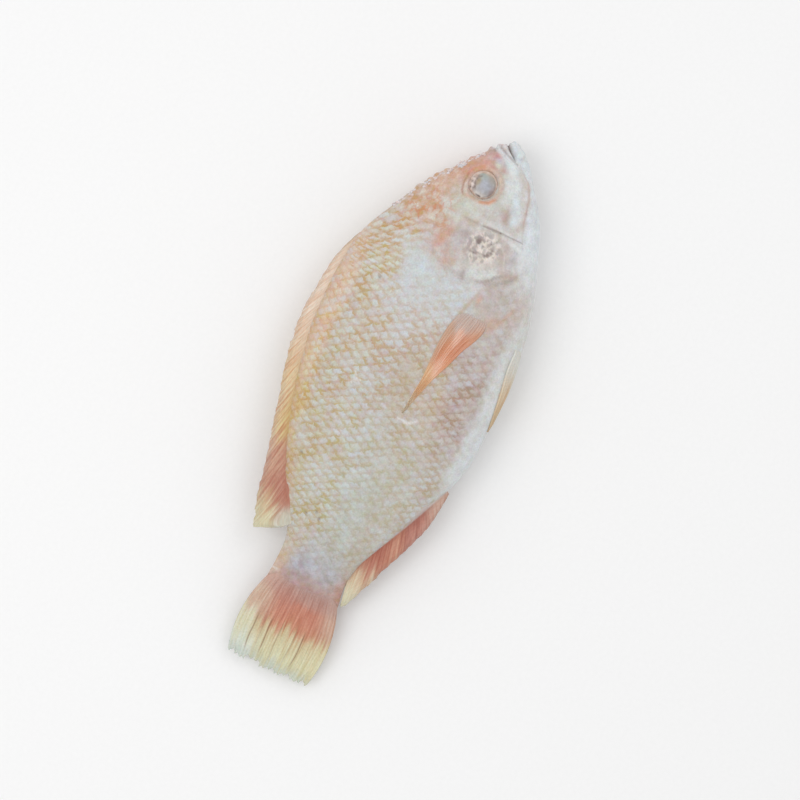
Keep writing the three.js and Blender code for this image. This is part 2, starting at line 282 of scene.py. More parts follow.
# Skin patches: place, reach, colour of the scales' pale middles, colour between them.
SKIN_PATCHES = [
    (-3, 2, 5, 22, "#c18f7f", "#af7768"),
    (5, 3, 5, 12, "#b8a29e", "#a98a84"),
    (13, 8, 6, 5, "#b9bbc8", "#a19ca6"),
    (13, -4, 6, 6, "#bec0c8", "#a29da1"),
    (20, 3, 7, 12, "#bfbfbd", "#aea59c"),
    (10, 20, 9, 3.5, "#cdbaa4", "#c39d82"),
    (7, -15, 8, 3.5, "#bf9e8f", "#aa7c6a"),
    (24, 17, 8, 5, "#c6c1b0", "#b99d80"),
    (30, -14, 12, 5, "#c1bfb4", "#b19e8a"),
    (40, 16, 14, 9, "#c6cac0", "#b49e7a"),
    (44, -4, 20, 9, "#c2c8c2", "#b2ab99"),
    (52, 34, 14, 6, "#c8c0a8", "#b8986c"),
    (62, -30, 22, 7, "#c8cac4", "#b7a48d"),
    (46, -20, 16, 6, "#c9cdc9", "#b8aa97"),
    (72, 26, 18, 10, "#c8cbc1", "#b79e78"),
    (75, 4, 20, 9, "#c7cdc9", "#b6a78f"),
    (78, 44, 20, 4, "#d6ca9a", "#c39a60"),
    (82, -16, 20, 10, "#c6c9c3", "#b7a994"),
    (110, 49, 24, 4.5, "#d8cbb0", "#cfa47c"),
    (108, 32, 20, 10, "#c6cac2", "#b89b78"),
    (112, 14, 18, 8, "#c4cccc", "#b79a80"),
    (112, 0, 18, 8, "#c4c0b4", "#b49b84"),
    (105, -14, 18, 8, "#cac1b3", "#b99c82"),
    (112, -28, 24, 8, "#c6bdb5", "#aa8e82"),
    (100, -44, 50, 5, "#dbe0e3", "#ced1d1"),
    (145, 50, 26, 5, "#dccebb", "#d1a78c"),
    (136, 32, 20, 10, "#cbcdc4", "#bb9a7a"),
    (142, 10, 16, 10, "#ccd0ce", "#bda290"),
    (162, 12, 14, 12, "#cbd4d8", "#c3c1bd"),
    (160, -28, 18, 7, "#cac6c2", "#b8a8a0"),
    (150, -45, 40, 5, "#d6d8d5", "#cdc7be"),
    (168, 36, 14, 9, "#d0d6cb", "#bd9c70"),
    (184, 36, 10, 8, "#d3d7cf", "#c08e6c"),
    (180, 12, 10, 8, "#c9bfb8", "#bfa294"),
    (186, -6, 10, 8, "#d5d1ce", "#c1b4ae"),
    (198, 30, 9, 8, "#d6cbbe", "#bf8e6f"),
    (205, 12, 8, 8, "#cdcdc8", "#c4b3a6"),
    (212, -6, 12, 7, "#cbccc8", "#c0b2a8"),
    (214, 26, 12, 5, "#d6bcab", "#c89a82"),
    (226, 15, 9, 6, "#d2b0a1", "#c68f7c"),
    (205, -34, 26, 7, "#dfe3e5", "#d2d4d5"),
    (222, -14, 9, 6, "#dcdfe0", "#cfc6c2"),
    (235, 9, 5, 6, "#cdbbb8", "#c09b94"),
    (238, -4, 6, 7, "#dde6e9", "#c6ced2"),
]


# ---------------------------------------------------------------- materials

def add(tree, kind, inputs, out=0, **settings):
    """Adds a node with its settings, fills its inputs with values or links, and returns one output."""
    made = tree.nodes.new(kind)
    for key, value in settings.items():
        setattr(made, key, value)
    for key, value in inputs.items():
        if isinstance(value, bpy.types.NodeSocket):
            tree.links.new(value, made.inputs[key])
        else:
            made.inputs[key].default_value = value
    return made.outputs[out]


def new_material(name):
    material = bpy.data.materials.new(name)
    material.use_nodes = True
    material.node_tree.nodes.clear()
    return material, material.node_tree


def finish_material(tree, colour, roughness, height, bump_depth, **fixed):
    """Principled surface from a colour, a roughness, a height field, and fixed numbers for its sockets."""
    normal = add(tree, "ShaderNodeBump", {"Strength": 1.0, "Distance": bump_depth, "Height": height})
    inputs = {"Base Color": colour, "Roughness": roughness, "Normal": normal}
    inputs.update({key.replace("_", " "): value for key, value in fixed.items()})
    surface = add(tree, "ShaderNodeBsdfPrincipled", inputs)
    output = tree.nodes.new("ShaderNodeOutputMaterial")
    tree.links.new(surface, output.inputs["Surface"])


def rgba(code):
    return (*linear(code), 1)


def shingle_nodes(tree, along, row):
    """Overlapping scales on a lattice: how far each point is from its scale's free edge, how far it is from
    the middle of what shows of the scale (1 is its rim), and a number of the scale's own. A free edge is an
    arc towards the tail, and it lies over the next scale back."""
    first = add(tree, "ShaderNodeMath", {0: row}, operation="FLOOR")
    share = add(tree, "ShaderNodeMath", {0: row, 1: first}, operation="SUBTRACT")
    odd = add(tree, "ShaderNodeMath", {0: first, 1: 2.0}, operation="FLOORED_MODULO")
    edges, centres, ovals = [], [], []
    for step in (0, 1):
        across = add(tree, "ShaderNodeMath", {0: share, 1: float(step)}, operation="SUBTRACT")
        square = add(tree, "ShaderNodeMath", {0: across, 1: across}, operation="MULTIPLY")
        left = add(tree, "ShaderNodeMath", {0: 1.0, 1: square}, operation="SUBTRACT")
        root = add(tree, "ShaderNodeMath", {0: left}, operation="SQRT")
        reach = add(tree, "ShaderNodeMath", {0: root, 1: SCALE_ARC}, operation="MULTIPLY")
        half = 0.5 if step == 0 else -0.5
        shift = add(tree, "ShaderNodeMath", {0: odd, 1: half, 2: 0.5 * step}, operation="MULTIPLY_ADD")
        back = add(tree, "ShaderNodeMath", {0: along, 1: reach}, operation="SUBTRACT")
        place = add(tree, "ShaderNodeMath", {0: back, 1: shift}, operation="SUBTRACT")
        part = add(tree, "ShaderNodeMath", {0: place}, operation="FRACT")
        edge = add(tree, "ShaderNodeMath", {0: 1.0, 1: part}, operation="SUBTRACT")
        edges.append(edge)
        centres.append(add(tree, "ShaderNodeMath", {0: edge, 1: reach}, operation="SUBTRACT"))
        # What shows of the scale is an oval, in shares of the pitch along the fish and across the rows.
        beside = add(tree, "ShaderNodeMath", {0: along, 1: shift}, operation="SUBTRACT")
        beside = add(tree, "ShaderNodeMath", {0: beside, 1: 0.45}, operation="ADD")
        beside = add(tree, "ShaderNodeMath", {0: beside}, operation="FRACT")
        beside = add(tree, "ShaderNodeMath", {0: beside, 1: 2.3, 2: -1.15}, operation="MULTIPLY_ADD")
        above = add(tree, "ShaderNodeMath", {0: across, 1: 1.2}, operation="MULTIPLY")
        off = add(tree, "ShaderNodeCombineXYZ", {"X": beside, "Y": above, "Z": 0.0})
        ovals.append(add(tree, "ShaderNodeVectorMath", {0: off}, out=1, operation="LENGTH"))
    second = add(tree, "ShaderNodeMath", {0: centres[1], 1: centres[0]}, operation="LESS_THAN")
    edge = add(tree, "ShaderNodeMix", {0: second, 2: edges[0], 3: edges[1]}, data_type="FLOAT")
    centre = add(tree, "ShaderNodeMix", {0: second, 2: centres[0], 3: centres[1]}, data_type="FLOAT")
    oval = add(tree, "ShaderNodeMath", {0: ovals[0], 1: ovals[1]}, operation="MINIMUM")
    column = add(tree, "ShaderNodeMath", {0: along, 1: centre}, operation="ADD")
    column = add(tree, "ShaderNodeMath", {0: column, 1: 0.25}, operation="ADD")
    line = add(tree, "ShaderNodeMath", {0: first, 1: second}, operation="ADD")
    column = add(tree, "ShaderNodeMath", {0: column, 1: 0.5}, operation="SNAP")
    name = add(tree, "ShaderNodeCombineXYZ", {"X": column, "Y": line, "Z": 0.0})
    own = add(tree, "ShaderNodeTexWhiteNoise", {"Vector": name}, noise_dimensions="3D")
    return edge, oval, own


SCALE_ARC = 0.5  # how far a scale's free edge bows out, as a share of the scales' pitch


def scaled_skin():
    """Fresh fish skin, frozen: overlapping bony scales under clear slime and a thin frost. To the eye it is
    pale pearly ovals in a net of yellow and orange, with a soft wet shine."""
    material, tree = new_material("scaled_skin")
    mark = {key: add(tree, "ShaderNodeAttribute", {}, out=2, attribute_name=key)
            for key in ("along", "row", "scaled", "dark", "white", "raw")}
    pale = add(tree, "ShaderNodeAttribute", {}, out=0, attribute_name="pale")
    between = add(tree, "ShaderNodeAttribute", {}, out=0, attribute_name="between")
    place = add(tree, "ShaderNodeTexCoord", {}, out=3)
    blotch = add(tree, "ShaderNodeTexNoise", {"Vector": place, "Scale": 1 / (9 * MM), "Detail": 3.0})
    patch = add(tree, "ShaderNodeTexNoise", {"Vector": place, "Scale": 1 / (4 * MM), "Detail": 3.0})
    mottle = add(tree, "ShaderNodeTexNoise", {"Vector": place, "Scale": 1 / (1.7 * MM), "Detail": 3.0})
    fine = add(tree, "ShaderNodeTexNoise", {"Vector": place, "Scale": 1 / (0.8 * MM), "Detail": 2.0})

    jog = add(tree, "ShaderNodeTexNoise", {"Vector": place, "Scale": 1 / (2.4 * MM), "Detail": 2.0}, out=1)
    jog_along = add(tree, "ShaderNodeSeparateXYZ", {0: jog}, out=0)
    jog_row = add(tree, "ShaderNodeSeparateXYZ", {0: jog}, out=1)
    along = add(tree, "ShaderNodeMath", {0: jog_along, 1: 0.65, 2: mark["along"]}, operation="MULTIPLY_ADD")
    row = add(tree, "ShaderNodeMath", {0: jog_row, 1: 0.65, 2: mark["row"]}, operation="MULTIPLY_ADD")
    edge, oval, own = shingle_nodes(tree, along, row)
    # Each scale has a pearly middle with a soft edge, which shows more on some scales than on others.
    ragged = add(tree, "ShaderNodeMapRange", {"Value": mottle, "From Min": 0.3, "From Max": 0.7,
                                              "To Min": -0.25, "To Max": 0.25})
    oval = add(tree, "ShaderNodeMath", {0: oval, 1: ragged}, operation="ADD")
    middle = add(tree, "ShaderNodeMapRange", {"Value": oval, "From Min": 1.05, "From Max": 0.3},
                 interpolation_type="SMOOTHSTEP")
    strength = add(tree, "ShaderNodeMapRange", {"Value": own, "To Min": 0.4, "To Max": 1.0})
    patchy = add(tree, "ShaderNodeMapRange", {"Value": blotch, "From Min": 0.38, "From Max": 0.62,
                                              "To Min": 0.7, "To Max": 1.05})
    middle = add(tree, "ShaderNodeMath", {0: middle, 1: strength}, operation="MULTIPLY")
    middle = add(tree, "ShaderNodeMath", {0: middle, 1: patchy}, operation="MULTIPLY")
    net = add(tree, "ShaderNodeMath", {0: 1.0, 1: middle}, operation="SUBTRACT", use_clamp=True)
    # The skin shows most along each free edge, in short upright strokes.
    rim = add(tree, "ShaderNodeMath", {0: edge, 1: ragged}, operation="ADD")
    rim = add(tree, "ShaderNodeMapRange", {"Value": rim, "From Min": 0.55, "From Max": 0.05},
              interpolation_type="SMOOTHSTEP")
    broken = add(tree, "ShaderNodeMapRange", {"Value": patch, "From Min": 0.4, "From Max": 0.6,
                                              "To Min": 0.2, "To Max": 1.0})
    rim = add(tree, "ShaderNodeMath", {0: rim, 1: broken}, operation="MULTIPLY")
    net = add(tree, "ShaderNodeMath", {0: net, 1: 0.55}, operation="MULTIPLY")
    net = add(tree, "ShaderNodeMath", {0: rim, 1: 0.6, 2: net}, operation="MULTIPLY_ADD")
    # Slime lies thicker in places, and hides part of the net there.
    slime = add(tree, "ShaderNodeMapRange", {"Value": blotch, "From Min": 0.38, "From Max": 0.6,
                                             "To Min": 1.2, "To Max": 0.7})
    net = add(tree, "ShaderNodeMath", {0: net, 1: slime}, operation="MULTIPLY", use_clamp=True)
    plain = add(tree, "ShaderNodeMapRange", {"Value": patch, "From Min": 0.34, "From Max": 0.66})
    cover = add(tree, "ShaderNodeMix", {0: mark["scaled"], 2: plain, 3: net}, data_type="FLOAT")
    # Some scales are more lavender than others, and the skin between them drifts from tan to yellow.
    other = add(tree, "ShaderNodeMath", {0: own, 1: 13.7}, operation="MULTIPLY")
    other = add(tree, "ShaderNodeMath", {0: other}, operation="FRACT")
    other = add(tree, "ShaderNodeMath", {0: other, 1: mark["scaled"]}, operation="MULTIPLY")
    other = add(tree, "ShaderNodeMath", {0: other, 1: 0.45}, operation="MULTIPLY")
    pale = add(tree, "ShaderNodeMix", {0: other, 6: pale, 7: rgba("#c6cddd")}, out=2, data_type="RGBA")
    hue = add(tree, "ShaderNodeMapRange", {"Value": patch, "From Min": 0.3, "From Max": 0.7,
                                           "To Min": 0.475, "To Max": 0.53})
    between = add(tree, "ShaderNodeHueSaturation", {"Hue": hue, "Color": between})
    colour = add(tree, "ShaderNodeMix", {0: cover, 6: pale, 7: between}, out=2, data_type="RGBA")

    # Raw orange-red lines wander over the nape, where small vessels show through.
    bend = add(tree, "ShaderNodeTexNoise", {"Vector": place, "Scale": 1 / (5 * MM), "Detail": 2.0}, out=1)
    bend = add(tree, "ShaderNodeVectorMath", {0: bend, "Scale": 7 * MM}, operation="SCALE")
    bend = add(tree, "ShaderNodeVectorMath", {0: place, 1: bend}, operation="ADD")
    worm = add(tree, "ShaderNodeTexVoronoi", {"Vector": bend, "Scale": 1 / (5 * MM)},
               feature="DISTANCE_TO_EDGE")
    thin = add(tree, "ShaderNodeMapRange", {"Value": patch, "From Min": 0.4, "From Max": 0.6,
                                            "To Min": 0.05, "To Max": 0.2})
    worm = add(tree, "ShaderNodeMapRange", {"Value": worm, "From Min": thin, "From Max": 0.01},
               interpolation_type="SMOOTHSTEP")
    faint = add(tree, "ShaderNodeMapRange", {"Value": blotch, "From Min": 0.4, "From Max": 0.6,
                                             "To Min": 0.25, "To Max": 0.9})
    worm = add(tree, "ShaderNodeMath", {0: worm, 1: faint}, operation="MULTIPLY")
    worm = add(tree, "ShaderNodeMath", {0: worm, 1: mark["raw"]}, operation="MULTIPLY")
    colour = add(tree, "ShaderNodeMix", {0: worm, 6: colour, 7: rgba("#cb845f")}, out=2, data_type="RGBA")

    # Pearl: each grain of it leans a little to green, pink or blue.
    pearl = add(tree, "ShaderNodeTexNoise", {"Vector": place, "Scale": 1 / (2.6 * MM), "Detail": 2.0}, out=1)
    pearl = add(tree, "ShaderNodeVectorMath", {0: pearl, 1: (0.51, 0.5, 0.505)}, operation="SUBTRACT")
    pearl = add(tree, "ShaderNodeVectorMath", {0: pearl, "Scale": 0.11}, operation="SCALE")
    colour = add(tree, "ShaderNodeVectorMath", {0: colour, 1: pearl}, operation="ADD")
    shade = add(tree, "ShaderNodeMapRange", {"Value": fine, "From Min": 0.3, "From Max": 0.7,
                                             "To Min": 0.92, "To Max": 1.08})
    colour = add(tree, "ShaderNodeVectorMath", {0: colour, "Scale": shade}, operation="SCALE")
    # Painted shade: the creases, pits and mouth go dark, and so do the flank's own dark specks.
    colour = add(tree, "ShaderNodeMix", {0: mark["dark"], 6: colour, 7: rgba("#7d6a66")},
                 out=2, data_type="RGBA")
    # The white marks: frost, its scratches and pale strings of skin, and painted highlights, the white glints
    # of wet skin.
    frost = add(tree, "ShaderNodeMapRange", {"Value": mottle, "From Min": 0.3, "From Max": 0.6,
                                             "To Min": 0.2, "To Max": 1.0})
    frost = add(tree, "ShaderNodeMath", {0: frost, 1: mark["white"]}, operation="MULTIPLY")
    colour = add(tree, "ShaderNodeMix", {0: frost, 6: colour, 7: rgba("#e6e6e6")}, out=2, data_type="RGBA")

    roughness = add(tree, "ShaderNodeMapRange", {"Value": mottle, "From Min": 0.3, "From Max": 0.7,
                                                 "To Min": 0.34, "To Max": 0.58})
    finish_material(tree, colour, roughness, mottle, 0.12 * MM, IOR=1.4, Specular_IOR_Level=0.5,
                    Subsurface_Weight=0.12, Subsurface_Radius=(1.0, 0.5, 0.35), Subsurface_Scale=1.5 * MM)
    return material


def fin_membrane():
    """Fin: bony rays under thin skin, with clear membrane between. To the eye it is fine streaks from root
    to edge, red or orange at the root and glassy yellow at the rim."""
    material, tree = new_material("fin_membrane")
    ray = add(tree, "ShaderNodeAttribute", {}, out=2, attribute_name="ray")
    out = add(tree, "ShaderNodeAttribute", {}, out=2, attribute_name="out")
    pale = add(tree, "ShaderNodeAttribute", {}, out=0, attribute_name="pale")
    streak = add(tree, "ShaderNodeAttribute", {}, out=0, attribute_name="between")
    clear = add(tree, "ShaderNodeAttribute", {}, out=2, attribute_name="clear")
    dark = add(tree, "ShaderNodeAttribute", {}, out=2, attribute_name="dark")
    place = add(tree, "ShaderNodeTexCoord", {}, out=3)
    mottle = add(tree, "ShaderNodeTexNoise", {"Vector": place, "Scale": 1 / (2.2 * MM), "Detail": 3.0})
    # Streaks follow the rays: three to a ray, each wandering in strength along its length.
    lane = add(tree, "ShaderNodeMath", {0: ray, 1: 3.0}, operation="MULTIPLY")
    spread = add(tree, "ShaderNodeMath", {0: out, 1: 0.06}, operation="MULTIPLY")
    flow = add(tree, "ShaderNodeCombineXYZ", {"X": lane, "Y": spread, "Z": 0.0})
    threads = add(tree, "ShaderNodeTexNoise", {"Vector": flow, "Scale": 1.0, "Detail": 3.0,
                                               "Roughness": 0.6})
    cover = add(tree, "ShaderNodeMapRange", {"Value": threads, "From Min": 0.36, "From Max": 0.64})
    rooted = add(tree, "ShaderNodeMapRange", {"Value": out, "From Min": 1.0, "From Max": 6.0})
    cover = add(tree, "ShaderNodeMix", {0: rooted, 2: mottle, 3: cover}, data_type="FLOAT")
    colour = add(tree, "ShaderNodeMix", {0: cover, 6: pale, 7: streak}, out=2, data_type="RGBA")
    # Each ray is a stack of short bony joints, about a millimetre long, which cross it as faint bars.
    joint = add(tree, "ShaderNodeMath", {0: out, 1: 1.1}, operation="MULTIPLY")
    joints = add(tree, "ShaderNodeCombineXYZ", {"X": lane, "Y": joint, "Z": 0.0})
    bars = add(tree, "ShaderNodeTexNoise", {"Vector": joints, "Scale": 1.0, "Detail": 1.0})
    shade = add(tree, "ShaderNodeMapRange", {"Value": bars, "From Min": 0.3, "From Max": 0.7,
                                             "To Min": 0.93, "To Max": 1.07})
    colour = add(tree, "ShaderNodeVectorMath", {0: colour, "Scale": shade}, operation="SCALE")
    # Painted shade: a dark line along each fold of the membrane.
    colour = add(tree, "ShaderNodeMix", {0: dark, 6: colour, 7: rgba("#8a6a4e")}, out=2, data_type="RGBA")
    solid = add(tree, "ShaderNodeMapRange", {"Value": clear, "To Min": 1.0, "To Max": 0.72})
    roughness = add(tree, "ShaderNodeMapRange", {"Value": mottle, "To Min": 0.35, "To Max": 0.55})
    finish_material(tree, colour, roughness, threads, 0.07 * MM, IOR=1.4, Alpha=solid,
                    Subsurface_Weight=0.1, Subsurface_Radius=(1.0, 0.5, 0.3), Subsurface_Scale=1.0 * MM)
    return material


def clouded_cornea():
    """Eye of a frozen fish: a cornea that has turned cloudy over the lens. To the eye it is a dull
    grey-blue disc with a wet shine, in a wrinkled pink and cream ring."""
    material, tree = new_material("clouded_cornea")
    pale = add(tree, "ShaderNodeAttribute", {}, out=0, attribute_name="pale")
    between = add(tree, "ShaderNodeAttribute", {}, out=0, attribute_name="between")
    dark = add(tree, "ShaderNodeAttribute", {}, out=2, attribute_name="dark")
    place = add(tree, "ShaderNodeTexCoord", {}, out=3)
    cloud = add(tree, "ShaderNodeTexNoise", {"Vector": place, "Scale": 1 / (2.4 * MM), "Detail": 4.0,
                                             "Roughness": 0.6})
    cover = add(tree, "ShaderNodeMapRange", {"Value": cloud, "From Min": 0.38, "From Max": 0.62})
    colour = add(tree, "ShaderNodeMix", {0: cover, 6: pale, 7: between}, out=2, data_type="RGBA")
    # Painted shade in the groove, the lid's folds, its crack and crease.
    colour = add(tree, "ShaderNodeMix", {0: dark, 6: colour, 7: rgba("#7d6f69")}, out=2, data_type="RGBA")
    roughness = add(tree, "ShaderNodeMapRange", {"Value": cloud, "To Min": 0.12, "To Max": 0.4})
    finish_material(tree, colour, roughness, cloud, 0.08 * MM, IOR=1.38,
                    Coat_Weight=0.4, Coat_Roughness=0.12)
    return material


def frost_ice():
    """Freezer frost: clumps of small ice crystals, so full of air that they are milky. To the eye they are
    soft white to pink grains."""
    material, tree = new_material("frost_ice")
    place = add(tree, "ShaderNodeTexCoord", {}, out=3)
    cloud = add(tree, "ShaderNodeTexNoise", {"Vector": place, "Scale": 1 / (3 * MM), "Detail": 2.0})
    cover = add(tree, "ShaderNodeMapRange", {"Value": cloud, "From Min": 0.35, "From Max": 0.65})
    colour = add(tree, "ShaderNodeMix", {0: cover, 6: rgba("#d6bfb8"), 7: rgba("#ddd8dc")},
                 out=2, data_type="RGBA")
    finish_material(tree, colour, 0.4, cloud, 0.1 * MM, IOR=1.31, Subsurface_Weight=0.5,
                    Subsurface_Radius=(1.0, 0.8, 0.7), Subsurface_Scale=1.5 * MM)
    return material


SKIN = scaled_skin()
FIN = fin_membrane()
CORNEA = clouded_cornea()
ICE = frost_ice()


# ---------------------------------------------------------------- body

BODY_ROWS = 326
BODY_COLUMNS = 274
ROOT_FLESH = 4  # mm of flesh that runs out over the tail fin's root
ROW_PITCH = 4.0  # mm between rows of scales
SCALE_LIFT = 0.22  # mm that a scale's free edge stands up

GILL = (190.0, -4.0)  # centre of the gill cover's round rear edge
GILL_RADII = (18.0, 24.0)


def gill_edge(x, y):
    """Distance share from the gill cover's centre (1 at its rear edge), and how much of an edge there is."""
    dx, dy = (x - GILL[0]) / GILL_RADII[0], (y - GILL[1]) / GILL_RADII[1]
    angle = np.degrees(np.arctan2(dy, dx)) % 360
    return np.hypot(dx, dy), rise(angle, 112, 135) * rise(angle, 262, 240)


def body_stations():
    """Stations along the body, closest together on the head."""
    x = np.linspace(-ROOT_FLESH, BODY_LENGTH, 4000)
    density = 1 + 0.75 * rise(x, 178, 205) + 3 * rise(x, BODY_LENGTH - 4, BODY_LENGTH)
    total = np.cumsum(density)
    return np.interp(np.linspace(total[0], total[-1], BODY_ROWS), total, x)


TORN_RIDGES = [  # strings of skin
    [(183.6, 0.5), (183.9, -4.5), (185, -6.8)],
    [(186.8, -0.8), (188.8, -2.2), (190, -0.6), (192.3, 0.6), (194, -1.6), (193.7, -5), (194, -9)],
    [(184.6, -7.5), (184.3, -10.8), (187, -12), (190.5, -12.6), (193, -10.8)],
    [(187.4, -3.8), (187.2, -7), (189, -9.8), (190.6, -6), (192.6, -8)],
]
TORN_PITS = [  # place and reach
    (185.4, -2.6, 0.7, 1.5), (190.9, -3.3, 1.5, 1.3), (185.9, -9.4, 0.7, 1.3),
    (189.6, -7.6, 0.6, 1.2), (192.2, -9.8, 0.7, 0.7), (188.6, -10.9, 0.8, 0.6),
]
COVER_STRING = [(183.5, -19.5), (190, -17), (193, -14)]  # a string of skin below them
FLAP = [(173.5, -4.5), (179, -16)]  # torn skin behind the gill cover
SOCKET = (216.8, 6)  # centre of the darker ring of skin round the eye
SOCKET_RADIUS = 8.4
LID_FOLD = [(210, 12.8), (214, 13.8), (219, 12.8)]  # over the eye, with the crease above it
LID_CREASE = [(208.6, 13.6), (210.4, 15), (214, 15.6), (219, 15.2)]
MOUTH = [(243, 5.6), (239.5, 3.3), (234.2, -2.7)]
FOREHEAD_FROST = 0.9  # mm that frost stands off the forehead


def torn_skin(x, y, points):
    """Where the gill cover is rubbed raw: strings of pale skin and the pits between them, from 0 to 1."""
    here = rise(spot(x, y, (188.6, -6), (9, 8), -50), 0.2, 0.55)
    strings = sum(stroke(x, y, path, 1.1) for path in TORN_RIDGES) * (0.5 + 0.9 * grain(points, 1.6, 2, 14))
    net = rise(1 - 3.4 * np.abs(grain(points, 2.6, 2, 3)), 0.2, 0.85)
    strings = here * np.clip(0.9 * strings + 0.7 * net, 0, 1)
    pits = sum(spot(x, y, pit[:2], pit[2:]) for pit in TORN_PITS) + 0.3 * here * (1 - net)
    return strings, np.clip(pits, 0, 1) * (1 - 0.6 * strings)


def throat_line(x):
    """Where the cheek folds over the throat."""
    return np.interp(x, [172, 192, 208, 220, 227, 232, 236], [-37, -25, -19.5, -17, -13.5, -6.5, -6])


def body_relief(x, y, points, marks):
    """How far the skin stands off its smooth shape, in millimetres."""
    edge, here = gill_edge(x, y)
    plate = here * rise(edge, 0.55, 0.97) * rise(edge, 1.035, 1.0)
    relief = 1.1 * plate - 0.5 * here * np.exp(-(((edge - 1.06) / 0.03) ** 2))
    relief += SCALE_LIFT * marks["scaled"] * marks["shingle"]
    relief += 0.35 * grain(points, 14, 2, 1) + 0.12 * grain(points, 3.5, 2, 2)
    # Cheek, with the folded skin of the gill cover behind it.
    relief += 0.9 * spot(x, y, (206, -6), (9, 7)) + 0.5 * spot(x, y, (190, -19), (7, 6))
    relief -= 0.5 * stroke(x, y, [(198, -2), (198.6, -12), (199, -21)], 1.1)
    relief -= 0.15 * stroke(x, y, [(199, 9), (198, -1)], 2.0)
    strings, pits = torn_skin(x, y, points)
    relief += 0.45 * strings - 0.6 * pits
    relief += 0.3 * stroke(x, y, COVER_STRING, 1.2)
    # A torn flap of skin, raised here; the dark crease under it is painted shade, among the skin's marks.
    relief += 0.45 * rise(stroke(x, y, FLAP, 3.4), 0.25, 0.45)
    # Fleshy lobe that the pectoral fin grows from.
    relief += 1.5 * spot(x, y, (167, -19), (7, 9), -20)
    # Eye: a hollow for the ball with a raised rim round it.
    from_eye = np.hypot(x - EYE[0], y - EYE[1])
    relief -= 1.1 * rise(from_eye, 8.2, 6.6) + 4 * rise(from_eye, 6.5, 5.7)
    relief += 0.6 * np.exp(-(((from_eye - 9.0) / 1.2) ** 2))
    relief += 0.5 * stroke(x, y, LID_FOLD, 1.3) * (0.5 + grain(points, 1.6, 2, 4))
    relief -= 0.3 * stroke(x, y, LID_CREASE, 0.9)
    # Nostrils, lips and mouth.
    relief += 0.8 * spot(x, y, (228.7, 4.7), (1.8, 1.6)) - 0.7 * spot(x, y, (235, 8.5), (0.8, 0.8))
    relief += 0.8 * stroke(x, y, [(238.6, 8.5), (236, 3), (232.6, -4)], 2.2)
    relief -= 0.8 * stroke(x, y, [(237.4, 10.5), (234.6, 3), (231.4, -5)], 0.9)
    relief -= 1.3 * stroke(x, y, MOUTH, 0.9)
    relief += 0.8 * stroke(x, y, [(241, 0.5), (237.5, -5)], 2.4)
    # Crease between the cheek and the throat.
    fold = rise(x, 186, 200) * (1 - 0.7 * rise(x, 228, 233))
    above = y - throat_line(x)
    relief -= fold * 0.8 * (rise(above, 0.4, -0.5) - rise(above, -1, -6))
    # Frost roughens the forehead.
    relief += FOREHEAD_FROST * rise(x, 184, 200) * rise(y, back_y(x) - 5, back_y(x) - 0.5) * (
        0.2 + 2.2 * np.maximum(grain(points, 3.0, 2, 5), 0))
    return relief


